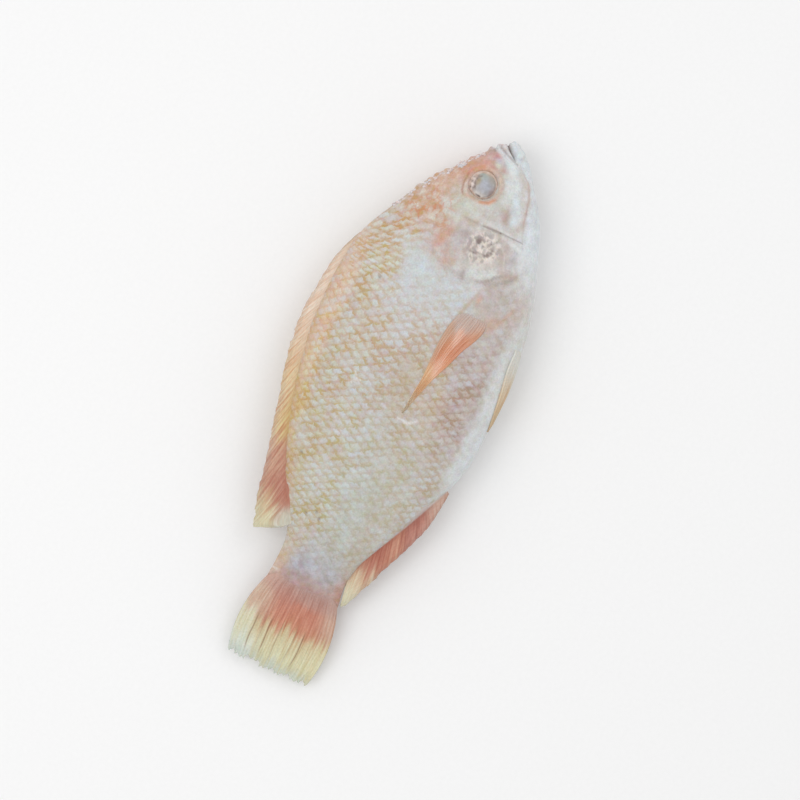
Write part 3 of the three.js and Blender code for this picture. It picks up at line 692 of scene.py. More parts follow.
def body_marks(x, y, points, arc):
    """What each point of the skin carries for the material, and the scales' relief."""
    edge, here = gill_edge(x, y)
    head_from = 192 - 12 * rise(y, 24, 6) - 4 * rise(y, -18, -34)
    scaled = rise(x, head_from, head_from - 7) * (1 - here * rise(edge, 1.1, 0.98))
    scaled *= 0.25 + 0.75 * rise(x, 8, 26)
    scaled *= 1 - 0.8 * rise(y, -30, -42) - 0.45 * spot(x, y, (160, 8), (14, 12))
    scaled *= 1 - 0.6 * spot(x, y, (160, -20), (16, 12)) - 0.55 * spot(x, y, (48, -12), (34, 13))
    scaled *= 1 - 0.65 * spot(x, y, (171, 17), (9, 9))
    scaled *= 1 - 0.5 * spot(x, y, (112, 2), (20, 8)) * (0.5 + grain(points, 9, 2, 16))
    wander = 0.22 * grain(points, 11, 2, 6)
    nape = rise(x, 150, 178) * rise(y, 14, 28)
    # Scales are smaller towards the tail.
    along = np.interp(BODY_LENGTH - x, [0, 122, 182, 260], np.cumsum([0, 122 / 4.8, 60 / 4.3, 78 / 3.8]))
    along = along + wander - nape * (y - 20) / 9.5
    row = arc / (1 + 0.7 * nape) + 0.2 * grain(points, 10, 2, 7)

    # Painted shade in the creases and pits: the gill cover's groove and rear edge, the crease under the torn
    # flap, the mouth, lips and nostrils, and the rubbed patch's pits and the shade over its ridge.
    dark = 0.75 * stroke(x, y, [(198.6, -2), (198.8, -11)], 0.7)
    dark += 0.5 * stroke(x, y, [(198.8, -11), (199, -23)], 0.6)
    dark += 0.2 * stroke(x, y, [(198.8, 8), (198.3, -1)], 1.2)
    dark += (0.3 + 0.25 * grain(points, 3, 1, 15)) * stroke(
        x, y, [(173.5, -12.8), (176, -16), (178, -17), (179.4, -19.5), (180.8, -22)], 1.0)
    dark += 0.3 * spot(x, y, (174, -2.5), (1.6, 1.2))
    dark += 0.16 * (0.6 + grain(points, 4, 1, 18)) * stroke(
        x, y, [(177, 9), (172.8, 2), (172, -4), (173.4, -12)], 1.6)
    dark += 0.14 * (0.5 + 1.4 * grain(points, 2, 1, 19)) * stroke(x, y, [(183, 10), (190, 8), (196, 2)], 3)
    dark += 0.6 * stroke(x, y, [(237, 6), (235, 2), (232.4, -4.5)], 0.7)
    dark += 0.25 * stroke(x, y, [(237.2, 10), (237, 6)], 0.6)
    dark += 0.6 * stroke(x, y, MOUTH, 0.7) + 0.4 * stroke(x, y, [(241, 4.5), (236.5, -1.5)], 1.6)
    strings, pits = torn_skin(x, y, points)
    dark += 0.75 * pits
    dark += 0.25 * spot(x, y, (191.8, 4), (2.2, 1.4)) + 0.2 * spot(x, y, (185, 1.4), (2.5, 0.8))
    dark += 0.5 * spot(x, y, (235.3, 8.5), (0.8, 0.9)) + 0.3 * spot(x, y, (234.5, 3.5), (0.7, 0.6))
    dark += 0.5 * spot(x, y, (237.3, -5.5), (1.0, 0.7))
    # The flank's own dark specks, which are real colour.
    for speck in ((36, 17), (38.5, 12.5), (36, 10), (62, 31.5), (155, 33)):
        dark += 0.75 * spot(x, y, speck, (0.8, 0.7))
    # Raw skin on the nape and forehead.
    below_back = back_y(x) - y
    raw = 0.7 * rise(x, 182, 194) * rise(x, 212, 203) * rise(y, 11, 18) * rise(below_back, 2, 6)
    raw += 0.35 * spot(x, y, (181, 9), (8, 6)) + 0.2 * rise(x, 200, 215) * rise(y, 12, 18)
    # Frost, scratches in it, and pale strings of skin, with painted highlights among them: white glints of
    # wet skin.
    white = 0.45 * stroke(x, y, [(200.2, -4), (200.0, -16)], 1.2)
    white += 0.5 * stroke(x, y, [(176, -5), (181.2, -16.6)], 0.7) + 0.3 * stroke(x, y, COVER_STRING, 0.8)
    white += 0.7 * stroke(x, y, [(196.4, -17), (195, -24)], 1.6)
    white += 0.6 * spot(x, y, (191.5, -26.5), (5, 2.4))
    # Painted highlights: small white glints of the wet skin, by the pectoral fin's tip and on the upper
    # flank.
    white += 0.8 * stroke(x, y, [(97, -4), (96.2, -9), (99, -13)], 1.2)
    white += 0.6 * stroke(x, y, [(103, 24), (106, 22.4), (108.5, 24.5)], 0.8)
    white += 0.6 * stroke(x, y, [(104.6, 22), (105.8, 20.6)], 0.8)
    white += 0.4 * rise(x, 190, 204) * rise(below_back, 3, 0) * rise(grain(points, 2.8, 2, 5), 0, 0.3)
    white += 0.7 * stroke(x, y, [(4.5, 17), (4.8, 22)], 0.8)
    white += 0.8 * stroke(x, y, [(237, 9.5), (234.2, 3), (231, -4.5)], 1.5)
    white += 0.8 * stroke(x, y, [(241, -1), (237, -6)], 1.6)
    white += 0.7 * stroke(x, y, [(239, 6), (233.6, -3.5)], 0.9)
    white += 0.6 * spot(x, y, (228, -4), (3, 2.2))

    pale = tint(x, y, SKIN_PATCHES, 4)
    between = tint(x, y, SKIN_PATCHES, 5)
    jaw = np.abs(y - throat_line(x))
    throat = rise(y, throat_line(x) - 0.5, throat_line(x) - 3)
    from_socket = np.hypot(x - SOCKET[0], y - SOCKET[1])
    # Painted one over the other: how much there is of each, and its colour.
    painted = [
        # Round the eye and on its lid.
        (0.55 * rise(np.abs(from_socket - SOCKET_RADIUS), 2.2, 0.6), "#d2b3a0"),
        (0.8 * stroke(x, y, [(219, 15.5), (222, 14), (225, 10)], 1.9), "#d7947a"),
        (0.5 * stroke(x, y, [(223, 12), (228, 9)], 3), "#dba08c"),
        (0.85 * stroke(x, y, [(208.2, 4.5), (209.5, 0.5), (212.2, -1.8)], 1.4), "#d29372"),
        (0.55 * stroke(x, y, [(212.5, -2.4), (219, -2.6)], 1.5), "#c69c8c"),
        (0.6 * stroke(x, y, [(208.5, 13), (209, 8)], 1.5), "#d8ab97"),
        # Painted shade in the crease over the lid.
        (0.7 * stroke(x, y, LID_CREASE, 0.8), "#b07a64"),
        (0.7 * stroke(x, y, LID_FOLD, 1.5), "#ddd0c9"),
        (0.8 * stroke(x, y, [(210.7, 10.5), (210.3, 6), (211, 3.5)], 1.1), "#e0dbd3"),
        # Along the back, and on the shoulder, the gill cover and the cheek.
        (0.55 * rise(below_back, 6, 1) * rise(x, 30, 45) * rise(x, 175, 150), "#cfab84"),
        (0.75 * spot(x, y, (175, 8), (2.6, 3.2), 20), "#cfa48d"),
        (0.6 * spot(x, y, (169, 18), (8, 9)), "#cdd8dc"),
        (0.8 * spot(x, y, (184.5, 14.3), (6.5, 2.8), -20), "#d19c83"),
        (0.7 * spot(x, y, (189.8, 11.2), (1.8, 1.6)), "#c7977c"),
        (0.75 * spot(x, y, (188, 6), (7, 4)), "#bdb6b9"),
        (0.6 * spot(x, y, (165.5, -15), (2.4, 1.4)), "#d9906c"),
        (0.55 * spot(x, y, (168, -35), (8, 4)), "#cfb5a8"),
        (0.5 * spot(x, y, (192, -1), (4, 6)), "#c2bab9"),
        (0.7 * spot(x, y, (179, -4), (3.4, 4.5)), "#cfcfc9"),
        (0.85 * spot(x, y, (207.5, -10.3), (4.2, 2.8)), "#b7978c"),
        (0.55 * spot(x, y, (205.5, -17), (3, 2.4)), "#cab1a8"),
        (0.7 * spot(x, y, (189.5, -16.5), (5, 3.2), 15), "#c1b1ac"),
        (0.6 * spot(x, y, (189, -21.5), (5, 2.4), 10), "#bcb5b9"),
        (0.5 * stroke(x, y, [(180.6, -21), (182.4, -26.6)], 3), "#bd9c86"),
        # The pectoral fin's root, the flap of skin above it, and the gill cover's front edge.
        (0.6 * stroke(x, y, [(150, -8.6), (160, -11), (167, -13.4)], 1.7), "#c09f86"),
        (0.5 * stroke(x, y, [(152, -25.6), (160, -29.4), (167, -32.4)], 1.8), "#cba186"),
        (0.6 * stroke(x, y, [(165, -17), (168.5, -22), (166, -28)], 1.6), "#d3cccb"),
        (0.55 * spot(x, y, (157, -25), (5, 3.4), -25), "#cf9d82"),
        (0.85 * stroke(x, y, FLAP, 3.4), "#d5dad6"),
        (0.6 * spot(x, y, (172, -3), (2, 1.6)), "#b49a98"),
        (0.5 * spot(x, y, (167, -21), (8, 7)), "#c3b5b0"),
        (0.5 * spot(x, y, (201.5, -9), (2.2, 7)), "#cfd3da"),
        # Throat, jaw and lower cheek.
        (0.75 * rise(x, 184, 196) * throat, "#dce2e6"),
        (0.6 * rise(x, 200, 210) * (1 - 0.8 * rise(x, 227, 232)) * rise(jaw, 1.6, 0), "#cba79c"),
        (0.7 * spot(x, y, (203.5, 11), (4, 6.5)), "#ccd1c6"),
        (0.5 * spot(x, y, (212, -4.5), (6, 2.5)), "#cdd3d0"),
        (0.8 * stroke(x, y, [(207, -14.5), (215, -11.8), (223, -6.5)], 4.5), "#dbe7ec"),
        (0.7 * spot(x, y, (221, -7), (8, 3.5)), "#dcdfdd"),
        # Lips and nostrils.
        (0.85 * stroke(x, y, [(236.8, 8.4), (233.4, 1.6), (228.8, -4.6)], 2.6), "#dbe5e9"),
        (0.75 * spot(x, y, (232.6, 6), (2, 2)), "#c98883"),
        (0.6 * spot(x, y, (234.5, 9.5), (1.6, 1.8)), "#bba3a0"),
        (0.7 * spot(x, y, (227.2, 0.6), (1.4, 2)), "#bd9787"),
        (0.7 * spot(x, y, (226.6, 5), (1.0, 2.2)), "#bd8a7c"),
        (0.8 * spot(x, y, (228.4, 4), (1.3, 1.4)), "#d3d6bf"),
        (0.7 * spot(x, y, (231, 4.4), (1.4, 1.8)), "#c6c5d3"),
        # The rubbed patch on the gill cover: painted shade in its pits, and its pale strings of skin.
        (0.5 * pits, "#9d8a84"),
        (0.9 * strings, "#eee3da"),
    ]
    for amount, code in painted:
        amount = np.clip(amount, 0, 1)[..., None]
        pale = pale * (1 - amount) + amount * linear(code)
        between = between * (1 - amount) + amount * linear(code) * 0.88
    return {
        "along": along, "row": row, "scaled": np.clip(scaled, 0, 1), "dark": np.clip(dark, 0, 1),
        "white": np.clip(white, 0, 1), "raw": np.clip(raw, 0, 1), "pale": pale, "between": between,
    }


def shingle_height(along, row):
    """The scales' relief from 0 to 1 on the same lattice as the material's: highest at each free edge."""
    first = np.floor(row)
    found = []
    for step in (0, 1):
        across = row - first - step
        reach = SCALE_ARC * np.sqrt(np.maximum(1 - across**2, 0))
        shift = 0.5 * ((first + step) % 2)
        edge = 1 - (along - reach - shift) % 1
        found.append((edge - reach, edge))
    (centre_a, edge_a), (centre_b, edge_b) = found
    return 1 - np.where(centre_b < centre_a, edge_b, edge_a)


def make_body():
    x = body_stations()[:, None]
    even = np.linspace(0, 2 * np.pi, BODY_COLUMNS, endpoint=False)
    turn = (even - 0.25 * np.sin(2 * even))[None, :]  # closer together on the flanks
    side = np.where(np.cos(turn) >= 0, 1.0, -1.0)
    angle = np.arcsin(np.sin(turn)) * np.ones_like(x)
    side = side * np.ones_like(x)
    x = x * np.ones_like(turn)
    points = skin_point(x, angle, side)
    # Past the tail fin's root the flesh thins to the fin.
    over = rise(x, 3, -ROOT_FLESH)[..., None] * np.array([0, 0, 0.97])
    middle = np.stack([points[..., 0], points[..., 1], middle_z(x)], -1)
    points = points * (1 - over) + middle * over
    normal = grid_normals(points)
    y = points[..., 1]
    # Rows are counted up and down from the flank's widest level.
    slope_angle = np.linspace(0, np.pi / 2, 60)
    rows = np.zeros_like(y)
    for sign in (1, -1):
        station = x[:, :1]
        path = skin_point(station, sign * slope_angle * np.ones_like(station), np.ones_like(station))
        length = np.concatenate([np.zeros((len(path), 1)), np.cumsum(
            np.linalg.norm(np.diff(path[..., 1:], axis=1), axis=-1), axis=1)], axis=1)
        for i in range(len(path)):
            mine = np.sign(angle[i]) == sign
            rows[i, mine] = sign * np.interp(np.abs(angle[i, mine]), slope_angle, length[i])
    taper = 0.8 + 0.2 * rise(x, 10, 90)
    marks = body_marks(x, y, points, rows / (ROW_PITCH * taper))
    marks["shingle"] = shingle_height(marks["along"], marks["row"])
    relief = body_relief(x, y, points, marks) * rise(x, -ROOT_FLESH, 4)
    points = points + normal * relief[..., None]
    points[..., 2] = np.maximum(points[..., 2], 0)
    del marks["shingle"]
    return shell("body_skin", points, marks)


stands_for(make_body(), "body", SKIN)


# ---------------------------------------------------------------- eyes

EYE_PATCHES = [  # place from the eye's centre, reach, two colours
    (0.4, -1.4, 3, 3, "#b4b8c4", "#a2a6b0"),
    (-2.5, 0.5, 3, 3, "#aeacb0", "#9d9893"),
    (3.5, -3.5, 2.2, 2.2, "#aba79c", "#9c8f80"),
    (-1.5, -5.2, 2.4, 1.4, "#b0a3a0", "#9c8682"),
    (0.8, 3.0, 1.8, 1.0, "#b3a57c", "#978258"),
    (4.2, 2, 1.8, 2.4, "#abb1aa", "#9da5a0"),
    (-1.8, 5.6, 4.6, 1.7, "#e8dad3", "#c4aaa2"),
    (3, 5.2, 2, 1.4, "#cbb5ab", "#a98678"),
    (-5.8, 1, 1.6, 4, "#f0ede8", "#d5cbc3"),
    (6.6, -1, 1.2, 5, "#cdbda9", "#c0a488"),
    (0, -6.8, 5, 1.0, "#cdb3a0", "#c0937c"),
]


EYE_SQUARE = 2.8  # 2 makes the ball's section an ellipse, and more makes it boxier


def make_eye(side):
    """The eyeball: rings from its outer pole, with the lens standing proud behind the clouded cornea."""
    polar = (np.linspace(0.01, 1, 60) ** 0.9 * np.pi * 0.98)[:, None]
    turn = np.linspace(0, 2 * np.pi, 96, endpoint=False)[None, :]
    x = EYE_RADIUS * np.sin(polar) * np.cos(turn)
    y = EYE_RADIUS * np.sin(polar) * np.sin(turn)
    depth = (1 - np.sin(polar) ** EYE_SQUARE) ** (1 / EYE_SQUARE) * EYE_HALF_DEPTH
    z = np.sign(np.cos(polar)) * depth * np.ones_like(turn)
    radius = np.hypot(x, y)
    outer = (z > 0) * 1.0
    flat = np.stack([x, y, z], -1)
    # The lid is crumpled over the top and the rear of the lens, which stands clear of it elsewhere.
    lid = np.maximum(rise(y, 2.6, 4.4), rise(x, -4.2, -5.4) * rise(y, -3, -1)) * rise(radius, 3.2, 4.6)
    folds = np.sin(2.6 * x + 1.5 * grain(flat, 3, 1, 13)) * rise(y, 2.6, 4.4)
    z = z + outer * lid * (0.4 + 0.35 * grain(flat, 1.6, 2, 9) + 0.05 * folds)
    z = z + outer * 0.1 * grain(flat, 2.6, 2, 10)
    groove = np.exp(-(((radius - 5.9) / 0.4) ** 2))
    z = z - outer * 0.4 * groove * (1 - lid)
    # Painted shade: darker in the lower part of the groove round the lens, in the troughs of the lid's folds,
    # along its crack and crease, and round the lens just under the lid.
    dark = outer * 0.25 * groove * (1 - lid) * rise(y, 1, -3)
    dark += outer * 0.4 * lid * np.exp(-(((folds + 0.8) / 0.35) ** 2)) * rise(x, 4, 1)
    crack = stroke(x, y, [(-5.7, -0.6), (-5.3, 2.4), (-3.7, 4.2), (-1.6, 3.5), (0.4, 4.5), (2.9, 3.9),
                          (3.8, 2.6)], 0.8)
    crease = stroke(x, y, [(-4.4, 5.2), (-1.5, 6.0), (0.6, 5.5), (2.4, 5.8)], 0.6)
    dark += outer * (0.95 * crack + 0.6 * crease) * (0.6 + 0.9 * grain(flat, 1.4, 1, 17))
    dark += outer * 0.35 * np.exp(-(((radius - 4.3) / 0.4) ** 2)) * rise(y, 2.0, 3.2)
    mirrored_z = 2 * (HALF_WIDTH - REST_FLAT) - EYE[2]
    centre = np.array([EYE[0], EYE[1], mirrored_z if side < 0 else EYE[2]])
    points = np.stack([x, y, side * z], -1) + centre
    # Outside the groove the ball wears a fleshy ring.
    ring = (0.8 * outer * rise(radius, 5.7, 6.2))[..., None]
    pale = tint(x, y, EYE_PATCHES, 4) * (1 - ring) + ring * linear("#d6c0b3")
    between = tint(x, y, EYE_PATCHES, 5) * (1 - ring) + ring * linear("#c0a08e")
    marks = {"pale": pale, "between": between, "dark": np.clip(dark, 0, 1)}
    return shell("clouded_eye_right" if side > 0 else "clouded_eye_left", points, marks)


for eye_side, eye_node in ((1, "right_eye"), (-1, "left_eye")):
    stands_for(make_eye(eye_side), eye_node, CORNEA)


# ---------------------------------------------------------------- fins

def plate(name, surface, half_thickness, marks):
    """A closed fin from its middle surface (rays by steps out by xyz) and half its thickness, laid over
    itself round the free edge. The thickness runs along the third value of each point."""
    lift = np.zeros_like(surface)
    lift[..., 2] = half_thickness
    rings = np.concatenate([surface + lift, (surface - lift)[:, ::-1]], axis=1)
    both = {key: np.concatenate([value, value[:, ::-1]], axis=1) for key, value in marks.items()}
    return shell(name, rings, both)


def ray_lift(ray, out, splits_from):
    """A ray's height over the membrane from 0 to 1: one ridge near the root, split in two further out."""
    single = np.abs(np.cos(np.pi * (ray - 0.5))) ** 2
    double = np.abs(np.cos(2 * np.pi * (ray - 0.25))) ** 2
    split = rise(out, splits_from, splits_from + 0.25)
    return single * (1 - split) + 0.8 * double * split


def half_girth(x, y):
    """How far the smooth skin is from the middle plane at a height on the body."""
    return skin_point(x, skin_angle(x, y), 1)[..., 2] - middle_z(x)


def median_fin(name, node, root, tip, bulge, rays, lean, patches, steps_out, ragged, splits_from, rim, fillet,
               folds=(), front_taper=0.01, skin_over=0.0):
    """A fin in the fish's middle plane. root(u) and tip(u) are points at the share u of its base, and
    bulge(u) is how far its rays bow. lean is how much further back, as a share of the base, each ray ends
    than tip says. ragged is how uneven the rays' lengths are, and splits_from is the share of its length
    at which each ray splits in two. rim is the share of each ray's length over which the fin turns glassy.
    fillet is how many millimetres the body's skin runs out over it. front_taper is the share of the base
    over which that skin grows from nothing, and skin_over is how much of its pale colour it takes along.
    folds are the rays that a fold lies along, painted in as a dark line of shade."""
    across = int(rays * 12)
    u = np.linspace(0, 1, across)[:, None]
    v = np.linspace(0, 1, steps_out)[None, :]
    ray = (u - lean * v) * rays
    end_ray = (u - lean) * rays
    own = np.random.default_rng(rays).random((rays + 2, 2))
    lanes = np.random.default_rng(rays + 100).random(3 * rays + 3)
    at_end = np.clip(np.floor(end_ray + 0.5).astype(int), 0, rays + 1)
    here = np.clip(np.floor(ray + 0.5).astype(int), 0, rays + 1)
    reach = 1 + ragged * (own[at_end, 0] - 0.5) + 0.5 * ragged * np.abs(np.cos(np.pi * (end_ray - 0.5)))
    (root_x, root_y), (tip_x, tip_y) = root(u), tip(u)
    x = root_x + (tip_x - root_x) * v * reach
    y = root_y + (tip_y - root_y) * v * reach + bulge(u) * 4 * v * (1 - v)
    flat = np.stack([x, y, np.zeros_like(x)], -1)
    z = middle_z(x) + 0.4 * grain(flat, 16, 2, 11) * v
    out = np.hypot(x - root_x, y - root_y)
    sheath = 0.86 * half_girth(root_x, root_y) * np.exp(-((out / fillet) ** 2)) * rise(u, -0.01, front_taper)
    ridge = RAY_RIDGE * ray_lift(ray, v, splits_from) * (1 - 0.6 * v) * rise(out, 1.5, 5)
    half = 0.3 - 0.1 * v + sheath + ridge
    half = half * (1 - 0.75 * rise(v, 0.97, 1.0))
    lane = lanes[np.clip(np.floor(3 * ray).astype(int), 0, 3 * rays + 2)]
    jitter = (own[here, 1] - 0.5) * 4 + (lane - 0.5) * 5
    along = x + jitter * rise(v, 0.15, 0.5)
    # Each fold is painted in as a dark line of shade along its ray.
    dark = np.zeros_like(x)
    for number in folds:
        off = ray - number - 0.06 * np.sin(x / 3 + number)
        depth = 0.55 + 0.45 * math.sin(5 * number)
        dark += depth * np.exp(-((off / 0.1) ** 2)) * rise(v, 0.45, 0.56) * rise(v, 0.97, 0.8)
    skin_share = (rise(out, fillet + 0.5, 0.8 * fillet) * skin_over)[..., None]
    skin = linear("#cbc8c4")
    marks = {
        "ray": ray, "out": out,
        "pale": tint(along, y, patches, 4) * (1 - skin_share) + skin * skin_share,
        "between": tint(along, y, patches, 5) * (1 - skin_share) + skin * skin_share,
        "clear": rise(v, 1 - rim, 1.0) * np.ones_like(x), "dark": np.clip(dark, 0, 1),
    }
    piece = plate(name, np.stack([x, y, z], -1), half, marks)
    stands_for(piece, node, FIN)


ROOT_DEPTH = 2.5  # mm that a fin's root lies under the skin
EDGE_CLEAR = 0.3  # mm that a fin's edge clears the skin where the fin is lowest
DORSAL_FROM, DORSAL_BASE = 70, 144  # mm from the snout to the fin's front, and along its base
DORSAL_SWEEP, DORSAL_HEIGHT = 18.4, 9.5  # mm that its edge lies back and stands up, at the most
ANAL_FROM, ANAL_BASE = 166, 56
ANAL_SWEEP, ANAL_HEIGHT = 22, 4.4
PECTORAL_FROM, PECTORAL_LENGTH, PECTORAL_WIDTH = 84, 58, 15.8
PECTORAL_ROOT = 4  # mm of the pectoral fin that lie under the skin
PELVIC_FROM, PELVIC_LENGTH, PELVIC_WIDTH = 88, 45, 7
TAIL_ROOT = 5.0  # mm that the tail fin reaches into the body at mid height
# Each tail fold is painted in as a dark line of shade.
TAIL_FOLDS = (3, 4.5, 5.5, 7.5, 8.5, 10, 11.5)  # counted in rays from the top
RAY_RIDGE = 0.2  # mm that a ray stands out of each side of its fin
SNOUT_X = BODY_LENGTH
DORSAL_EDGE = [
    (0, 0.04, 0.03), (0.1, 0.2, 0.41), (0.2, 0.23, 0.49), (0.35, 0.3, 0.59), (0.5, 0.38, 0.52),
    (0.65, 0.51, 0.46), (0.8, 0.75, 0.62), (0.9, 1, 0.81), (0.95, 0.88, 1), (1, 0.22, 0.12),
]
ANAL_EDGE = [
    (0, 0.1, 0.14), (0.25, 0.3, 1), (0.5, 0.5, 0.93), (0.75, 0.77, 0.57), (0.9, 1, 0.22), (1, 0.87, 0.14),
]

DORSAL_PATCHES = [
    (168, 50, 10, 8, "#dccdb8", "#cfae94"),
    (140, 57, 18, 8, "#e6d9ca", "#d6b59c"),
    (115, 58, 16, 8, "#e3d5c2", "#d3ac8c"),
    (95, 53, 12, 8, "#dfd2ac", "#cca177"),
    (75, 46, 10, 5, "#d3c38a", "#bf8a5c"),
    (72, 52, 12, 3.5, "#dccab4", "#c79a80"),
    (52, 47, 12, 2.6, "#dcc8b4", "#c39a86"),
    (50, 40, 10, 5, "#c9a289", "#b07460"),
    (42, 33, 9, 6, "#c08d7a", "#a96553"),
    (30, 38, 7, 5, "#d5caa6", "#c39e7c"),
    (22, 36, 6, 8, "#d9d7ba", "#cdc49c"),
    (26, 26, 5, 4, "#cfcfc4", "#bfb6a2"),
]
ANAL_PATCHES = [
    (66, -42, 8, 5, "#cdb3a4", "#bb8e7c"),
    (52, -35, 10, 3, "#b5786a", "#9a5a4b"),
    (48, -39, 9, 4, "#cda494", "#b4796a"),
    (34, -25, 9, 3.5, "#b87866", "#9d5443"),
    (32, -30, 9, 4, "#cd9f87", "#b37058"),
    (26, -20, 6, 4, "#c08670", "#a66350"),
    (15, -21, 7, 5, "#d9ccb2", "#c9a888"),
    (4, -18, 7, 5, "#d9d6bc", "#cdc6a6"),
]
TAIL_PATCHES = [
    (-9, 21, 5, 3, "#d6c8b4", "#c3a08a"),
    (5, 3, 5, 14, "#b6a3a0", "#a68d88"),
    (-2, 2, 4, 18, "#c09b90", "#ab7d70"),
    (-5, 9, 4, 5, "#c08a7a", "#ab6e5e"),
    (1, 18, 6, 4, "#d3b3a5", "#bf9584"),
    (0, -17, 6, 4, "#c2a89c", "#ae8b7e"),
    (-12, 0, 5, 16, "#cc907a", "#b36d57"),
    (-18, -1, 4, 13, "#cb9176", "#b56f53"),
    (-13, 18, 6, 5, "#d1bda9", "#bd9680"),
    (-12, -18, 6, 5, "#cdb7a5", "#b9917b"),
    (-26, 1, 5, 20, "#d7cfae", "#c2ab82"),
    (-34, 1, 6, 20, "#d8d7b8", "#c9c198"),
    (-26, 22, 8, 5, "#dadac6", "#cfcdaa"),
    (-38, 20, 7, 7, "#d6dfdf", "#ccd7cd"),
    (-42, 2, 3, 20, "#d5dcd2", "#cad2c0"),
    (-30, -20, 10, 4, "#dad6b8", "#cfc89c"),
]


def make_dorsal_fin():
    sweep, height = smooth_line(DORSAL_EDGE, 1), smooth_line(DORSAL_EDGE, 2)

    def root(u):
        x = SNOUT_X - DORSAL_FROM - DORSAL_BASE * u
        return x, back_y(x) - ROOT_DEPTH

    def tip(u):
        x, y = root(u)
        return x - DORSAL_SWEEP * sweep(u), y + ROOT_DEPTH + EDGE_CLEAR + DORSAL_HEIGHT * height(u)

    median_fin("dorsal_fin_rays", "dorsal_fin", root, tip, bulge=lambda u: 0 * u, rays=29, lean=0.07,
               patches=DORSAL_PATCHES, steps_out=36, ragged=0.07, splits_from=0.6, rim=0.3, fillet=2.8,
               front_taper=0.12)


def make_anal_fin():
    sweep, height = smooth_line(ANAL_EDGE, 1), smooth_line(ANAL_EDGE, 2)

    def root(u):
        x = SNOUT_X - ANAL_FROM - ANAL_BASE * u
        return x, belly_y(x) + ROOT_DEPTH

    def tip(u):
        x, y = root(u)
        return x - ANAL_SWEEP * sweep(u), y - ROOT_DEPTH - EDGE_CLEAR - ANAL_HEIGHT * height(u)

    median_fin("anal_fin_rays", "anal_fin", root, tip, bulge=lambda u: 0 * u, rays=14, lean=0.08,
               patches=ANAL_PATCHES, steps_out=36, ragged=0.06, splits_from=0.5, rim=0.25, fillet=2.8,
               front_taper=0.22, skin_over=0.75)


def make_tail_fin():
    top, bottom = back_y(0.0), belly_y(0.0)

    def root(u):
        return TAIL_ROOT * (1 - np.abs(2 * u - 1) ** 4), top + (bottom - top) * u

    def tip(u):
        return TAIL_END_X + 0.6 + 0 * u, top + 2.5 + (bottom - top - 5) * u

    median_fin("tail_fin_rays", "tail_fin", root, tip, bulge=lambda u: 3.4 * (1 - 2 * u), rays=16, lean=0,
               patches=TAIL_PATCHES, steps_out=80, ragged=0.05, splits_from=0.35, rim=0.16, fillet=6.0,
               folds=TAIL_FOLDS)


make_dorsal_fin()
make_anal_fin()
make_tail_fin()

PECTORAL_BLADE = [
    (0, -17.5, 0.86), (0.14, -15.5, 1), (0.31, -12.5, 0.8), (0.48, -10.6, 0.58),
    (0.66, -8.6, 0.31), (0.83, -6.6, 0.16), (1, -4.7, 0.05),
]
PELVIC_BLADE = [(0, -72, 0.5), (0.25, -73, 1), (0.6, -77, 0.9), (0.85, -80, 0.5), (1, -82, 0.12)]
PECTORAL_PATCHES = [
    (160, -13, 8, 6, "#c8bfbb", "#c0b1aa"),
    (158, -22, 6, 5, "#c6b8b1", "#bfa294"),
    (153, -15, 3, 5, "#cbb4a8", "#bb9784"),
    (148, -22, 5, 3, "#d9ab90", "#c38664"),
    # Painted highlight: a thin pale streak of glints on the wet rays.
    (145, -14, 4, 1.2, "#f2d6c6", "#cf8c6b"),
    (140, -18, 5, 3, "#dba489", "#c37b58"),
    (135, -10, 6, 2, "#e2b096", "#c77f57"),
    # Painted highlight: a thin pale streak of glints on the wet rays.
    (127, -11, 5, 1.4, "#f6dccc", "#d5926f"),
    (124, -14, 5, 2, "#e3b294", "#cb8050"),
    (143, -7, 9, 2.5, "#cfb19c", "#b98c6e"),
    (116, -9, 7, 4, "#e6c7a4", "#d09a6a"),
    (102, -5, 7, 3, "#e6dac6", "#d8bf9f"),
]
PELVIC_PATCHES = [
    (146, -44, 12, 6, "#d8dad6", "#d0cbbf"),
    (128, -46, 9, 6, "#d8cbb0", "#c6a27c"),
    (112, -47, 8, 6, "#d2c0a2", "#bf9a72"),
]


def paired_fin(name, node, place, side, rays, patches, length, root_share):
    """A fin laid back along the body. place(across, out, lift) gives its points, length is its own with the
    root, and root_share is the share of it over which the fin comes out from under the skin."""
    u = np.linspace(0, 1, rays * 12)[:, None]
    v = np.linspace(0, 1, int(1.3 * length))[None, :]
    ray = u * rays
    thick = 0.4 + 0.35 * ray_lift(ray, v, 0.5) * (1 - 0.5 * v)
    thick = thick * (1 - 0.85 * rise(np.abs(2 * u - 1), 0.86, 1)) * (1 - 0.6 * rise(v, 0.9, 1))
    # The root comes out from under the skin.
    sunk = rise(v, root_share, 0)
    top = place(u, v, 0.35 + thick - 1.7 * sunk)
    under = place(u, v, -0.4 - 1.7 * sunk + 0 * thick)
    if side < 0:
        top[..., 2] = np.maximum(top[..., 2], 0)
        under[..., 2] = np.maximum(under[..., 2], 0.8)
    rings = np.concatenate([top, under[:, ::-1]], axis=1)
    x, y = top[..., 0], top[..., 1]
    marks = {
        "ray": ray * np.ones_like(x), "out": v * length * np.ones_like(x), "pale": tint(x, y, patches, 4),
        "between": tint(x, y, patches, 5), "clear": 0.5 * rise(v, 0.9, 1.0) * np.ones_like(x),
        "dark": np.zeros_like(x),
    }
    both = {key: np.concatenate([value, value[:, ::-1]], axis=1) for key, value in marks.items()}
    stands_for(shell(name, rings, both), node, FIN)


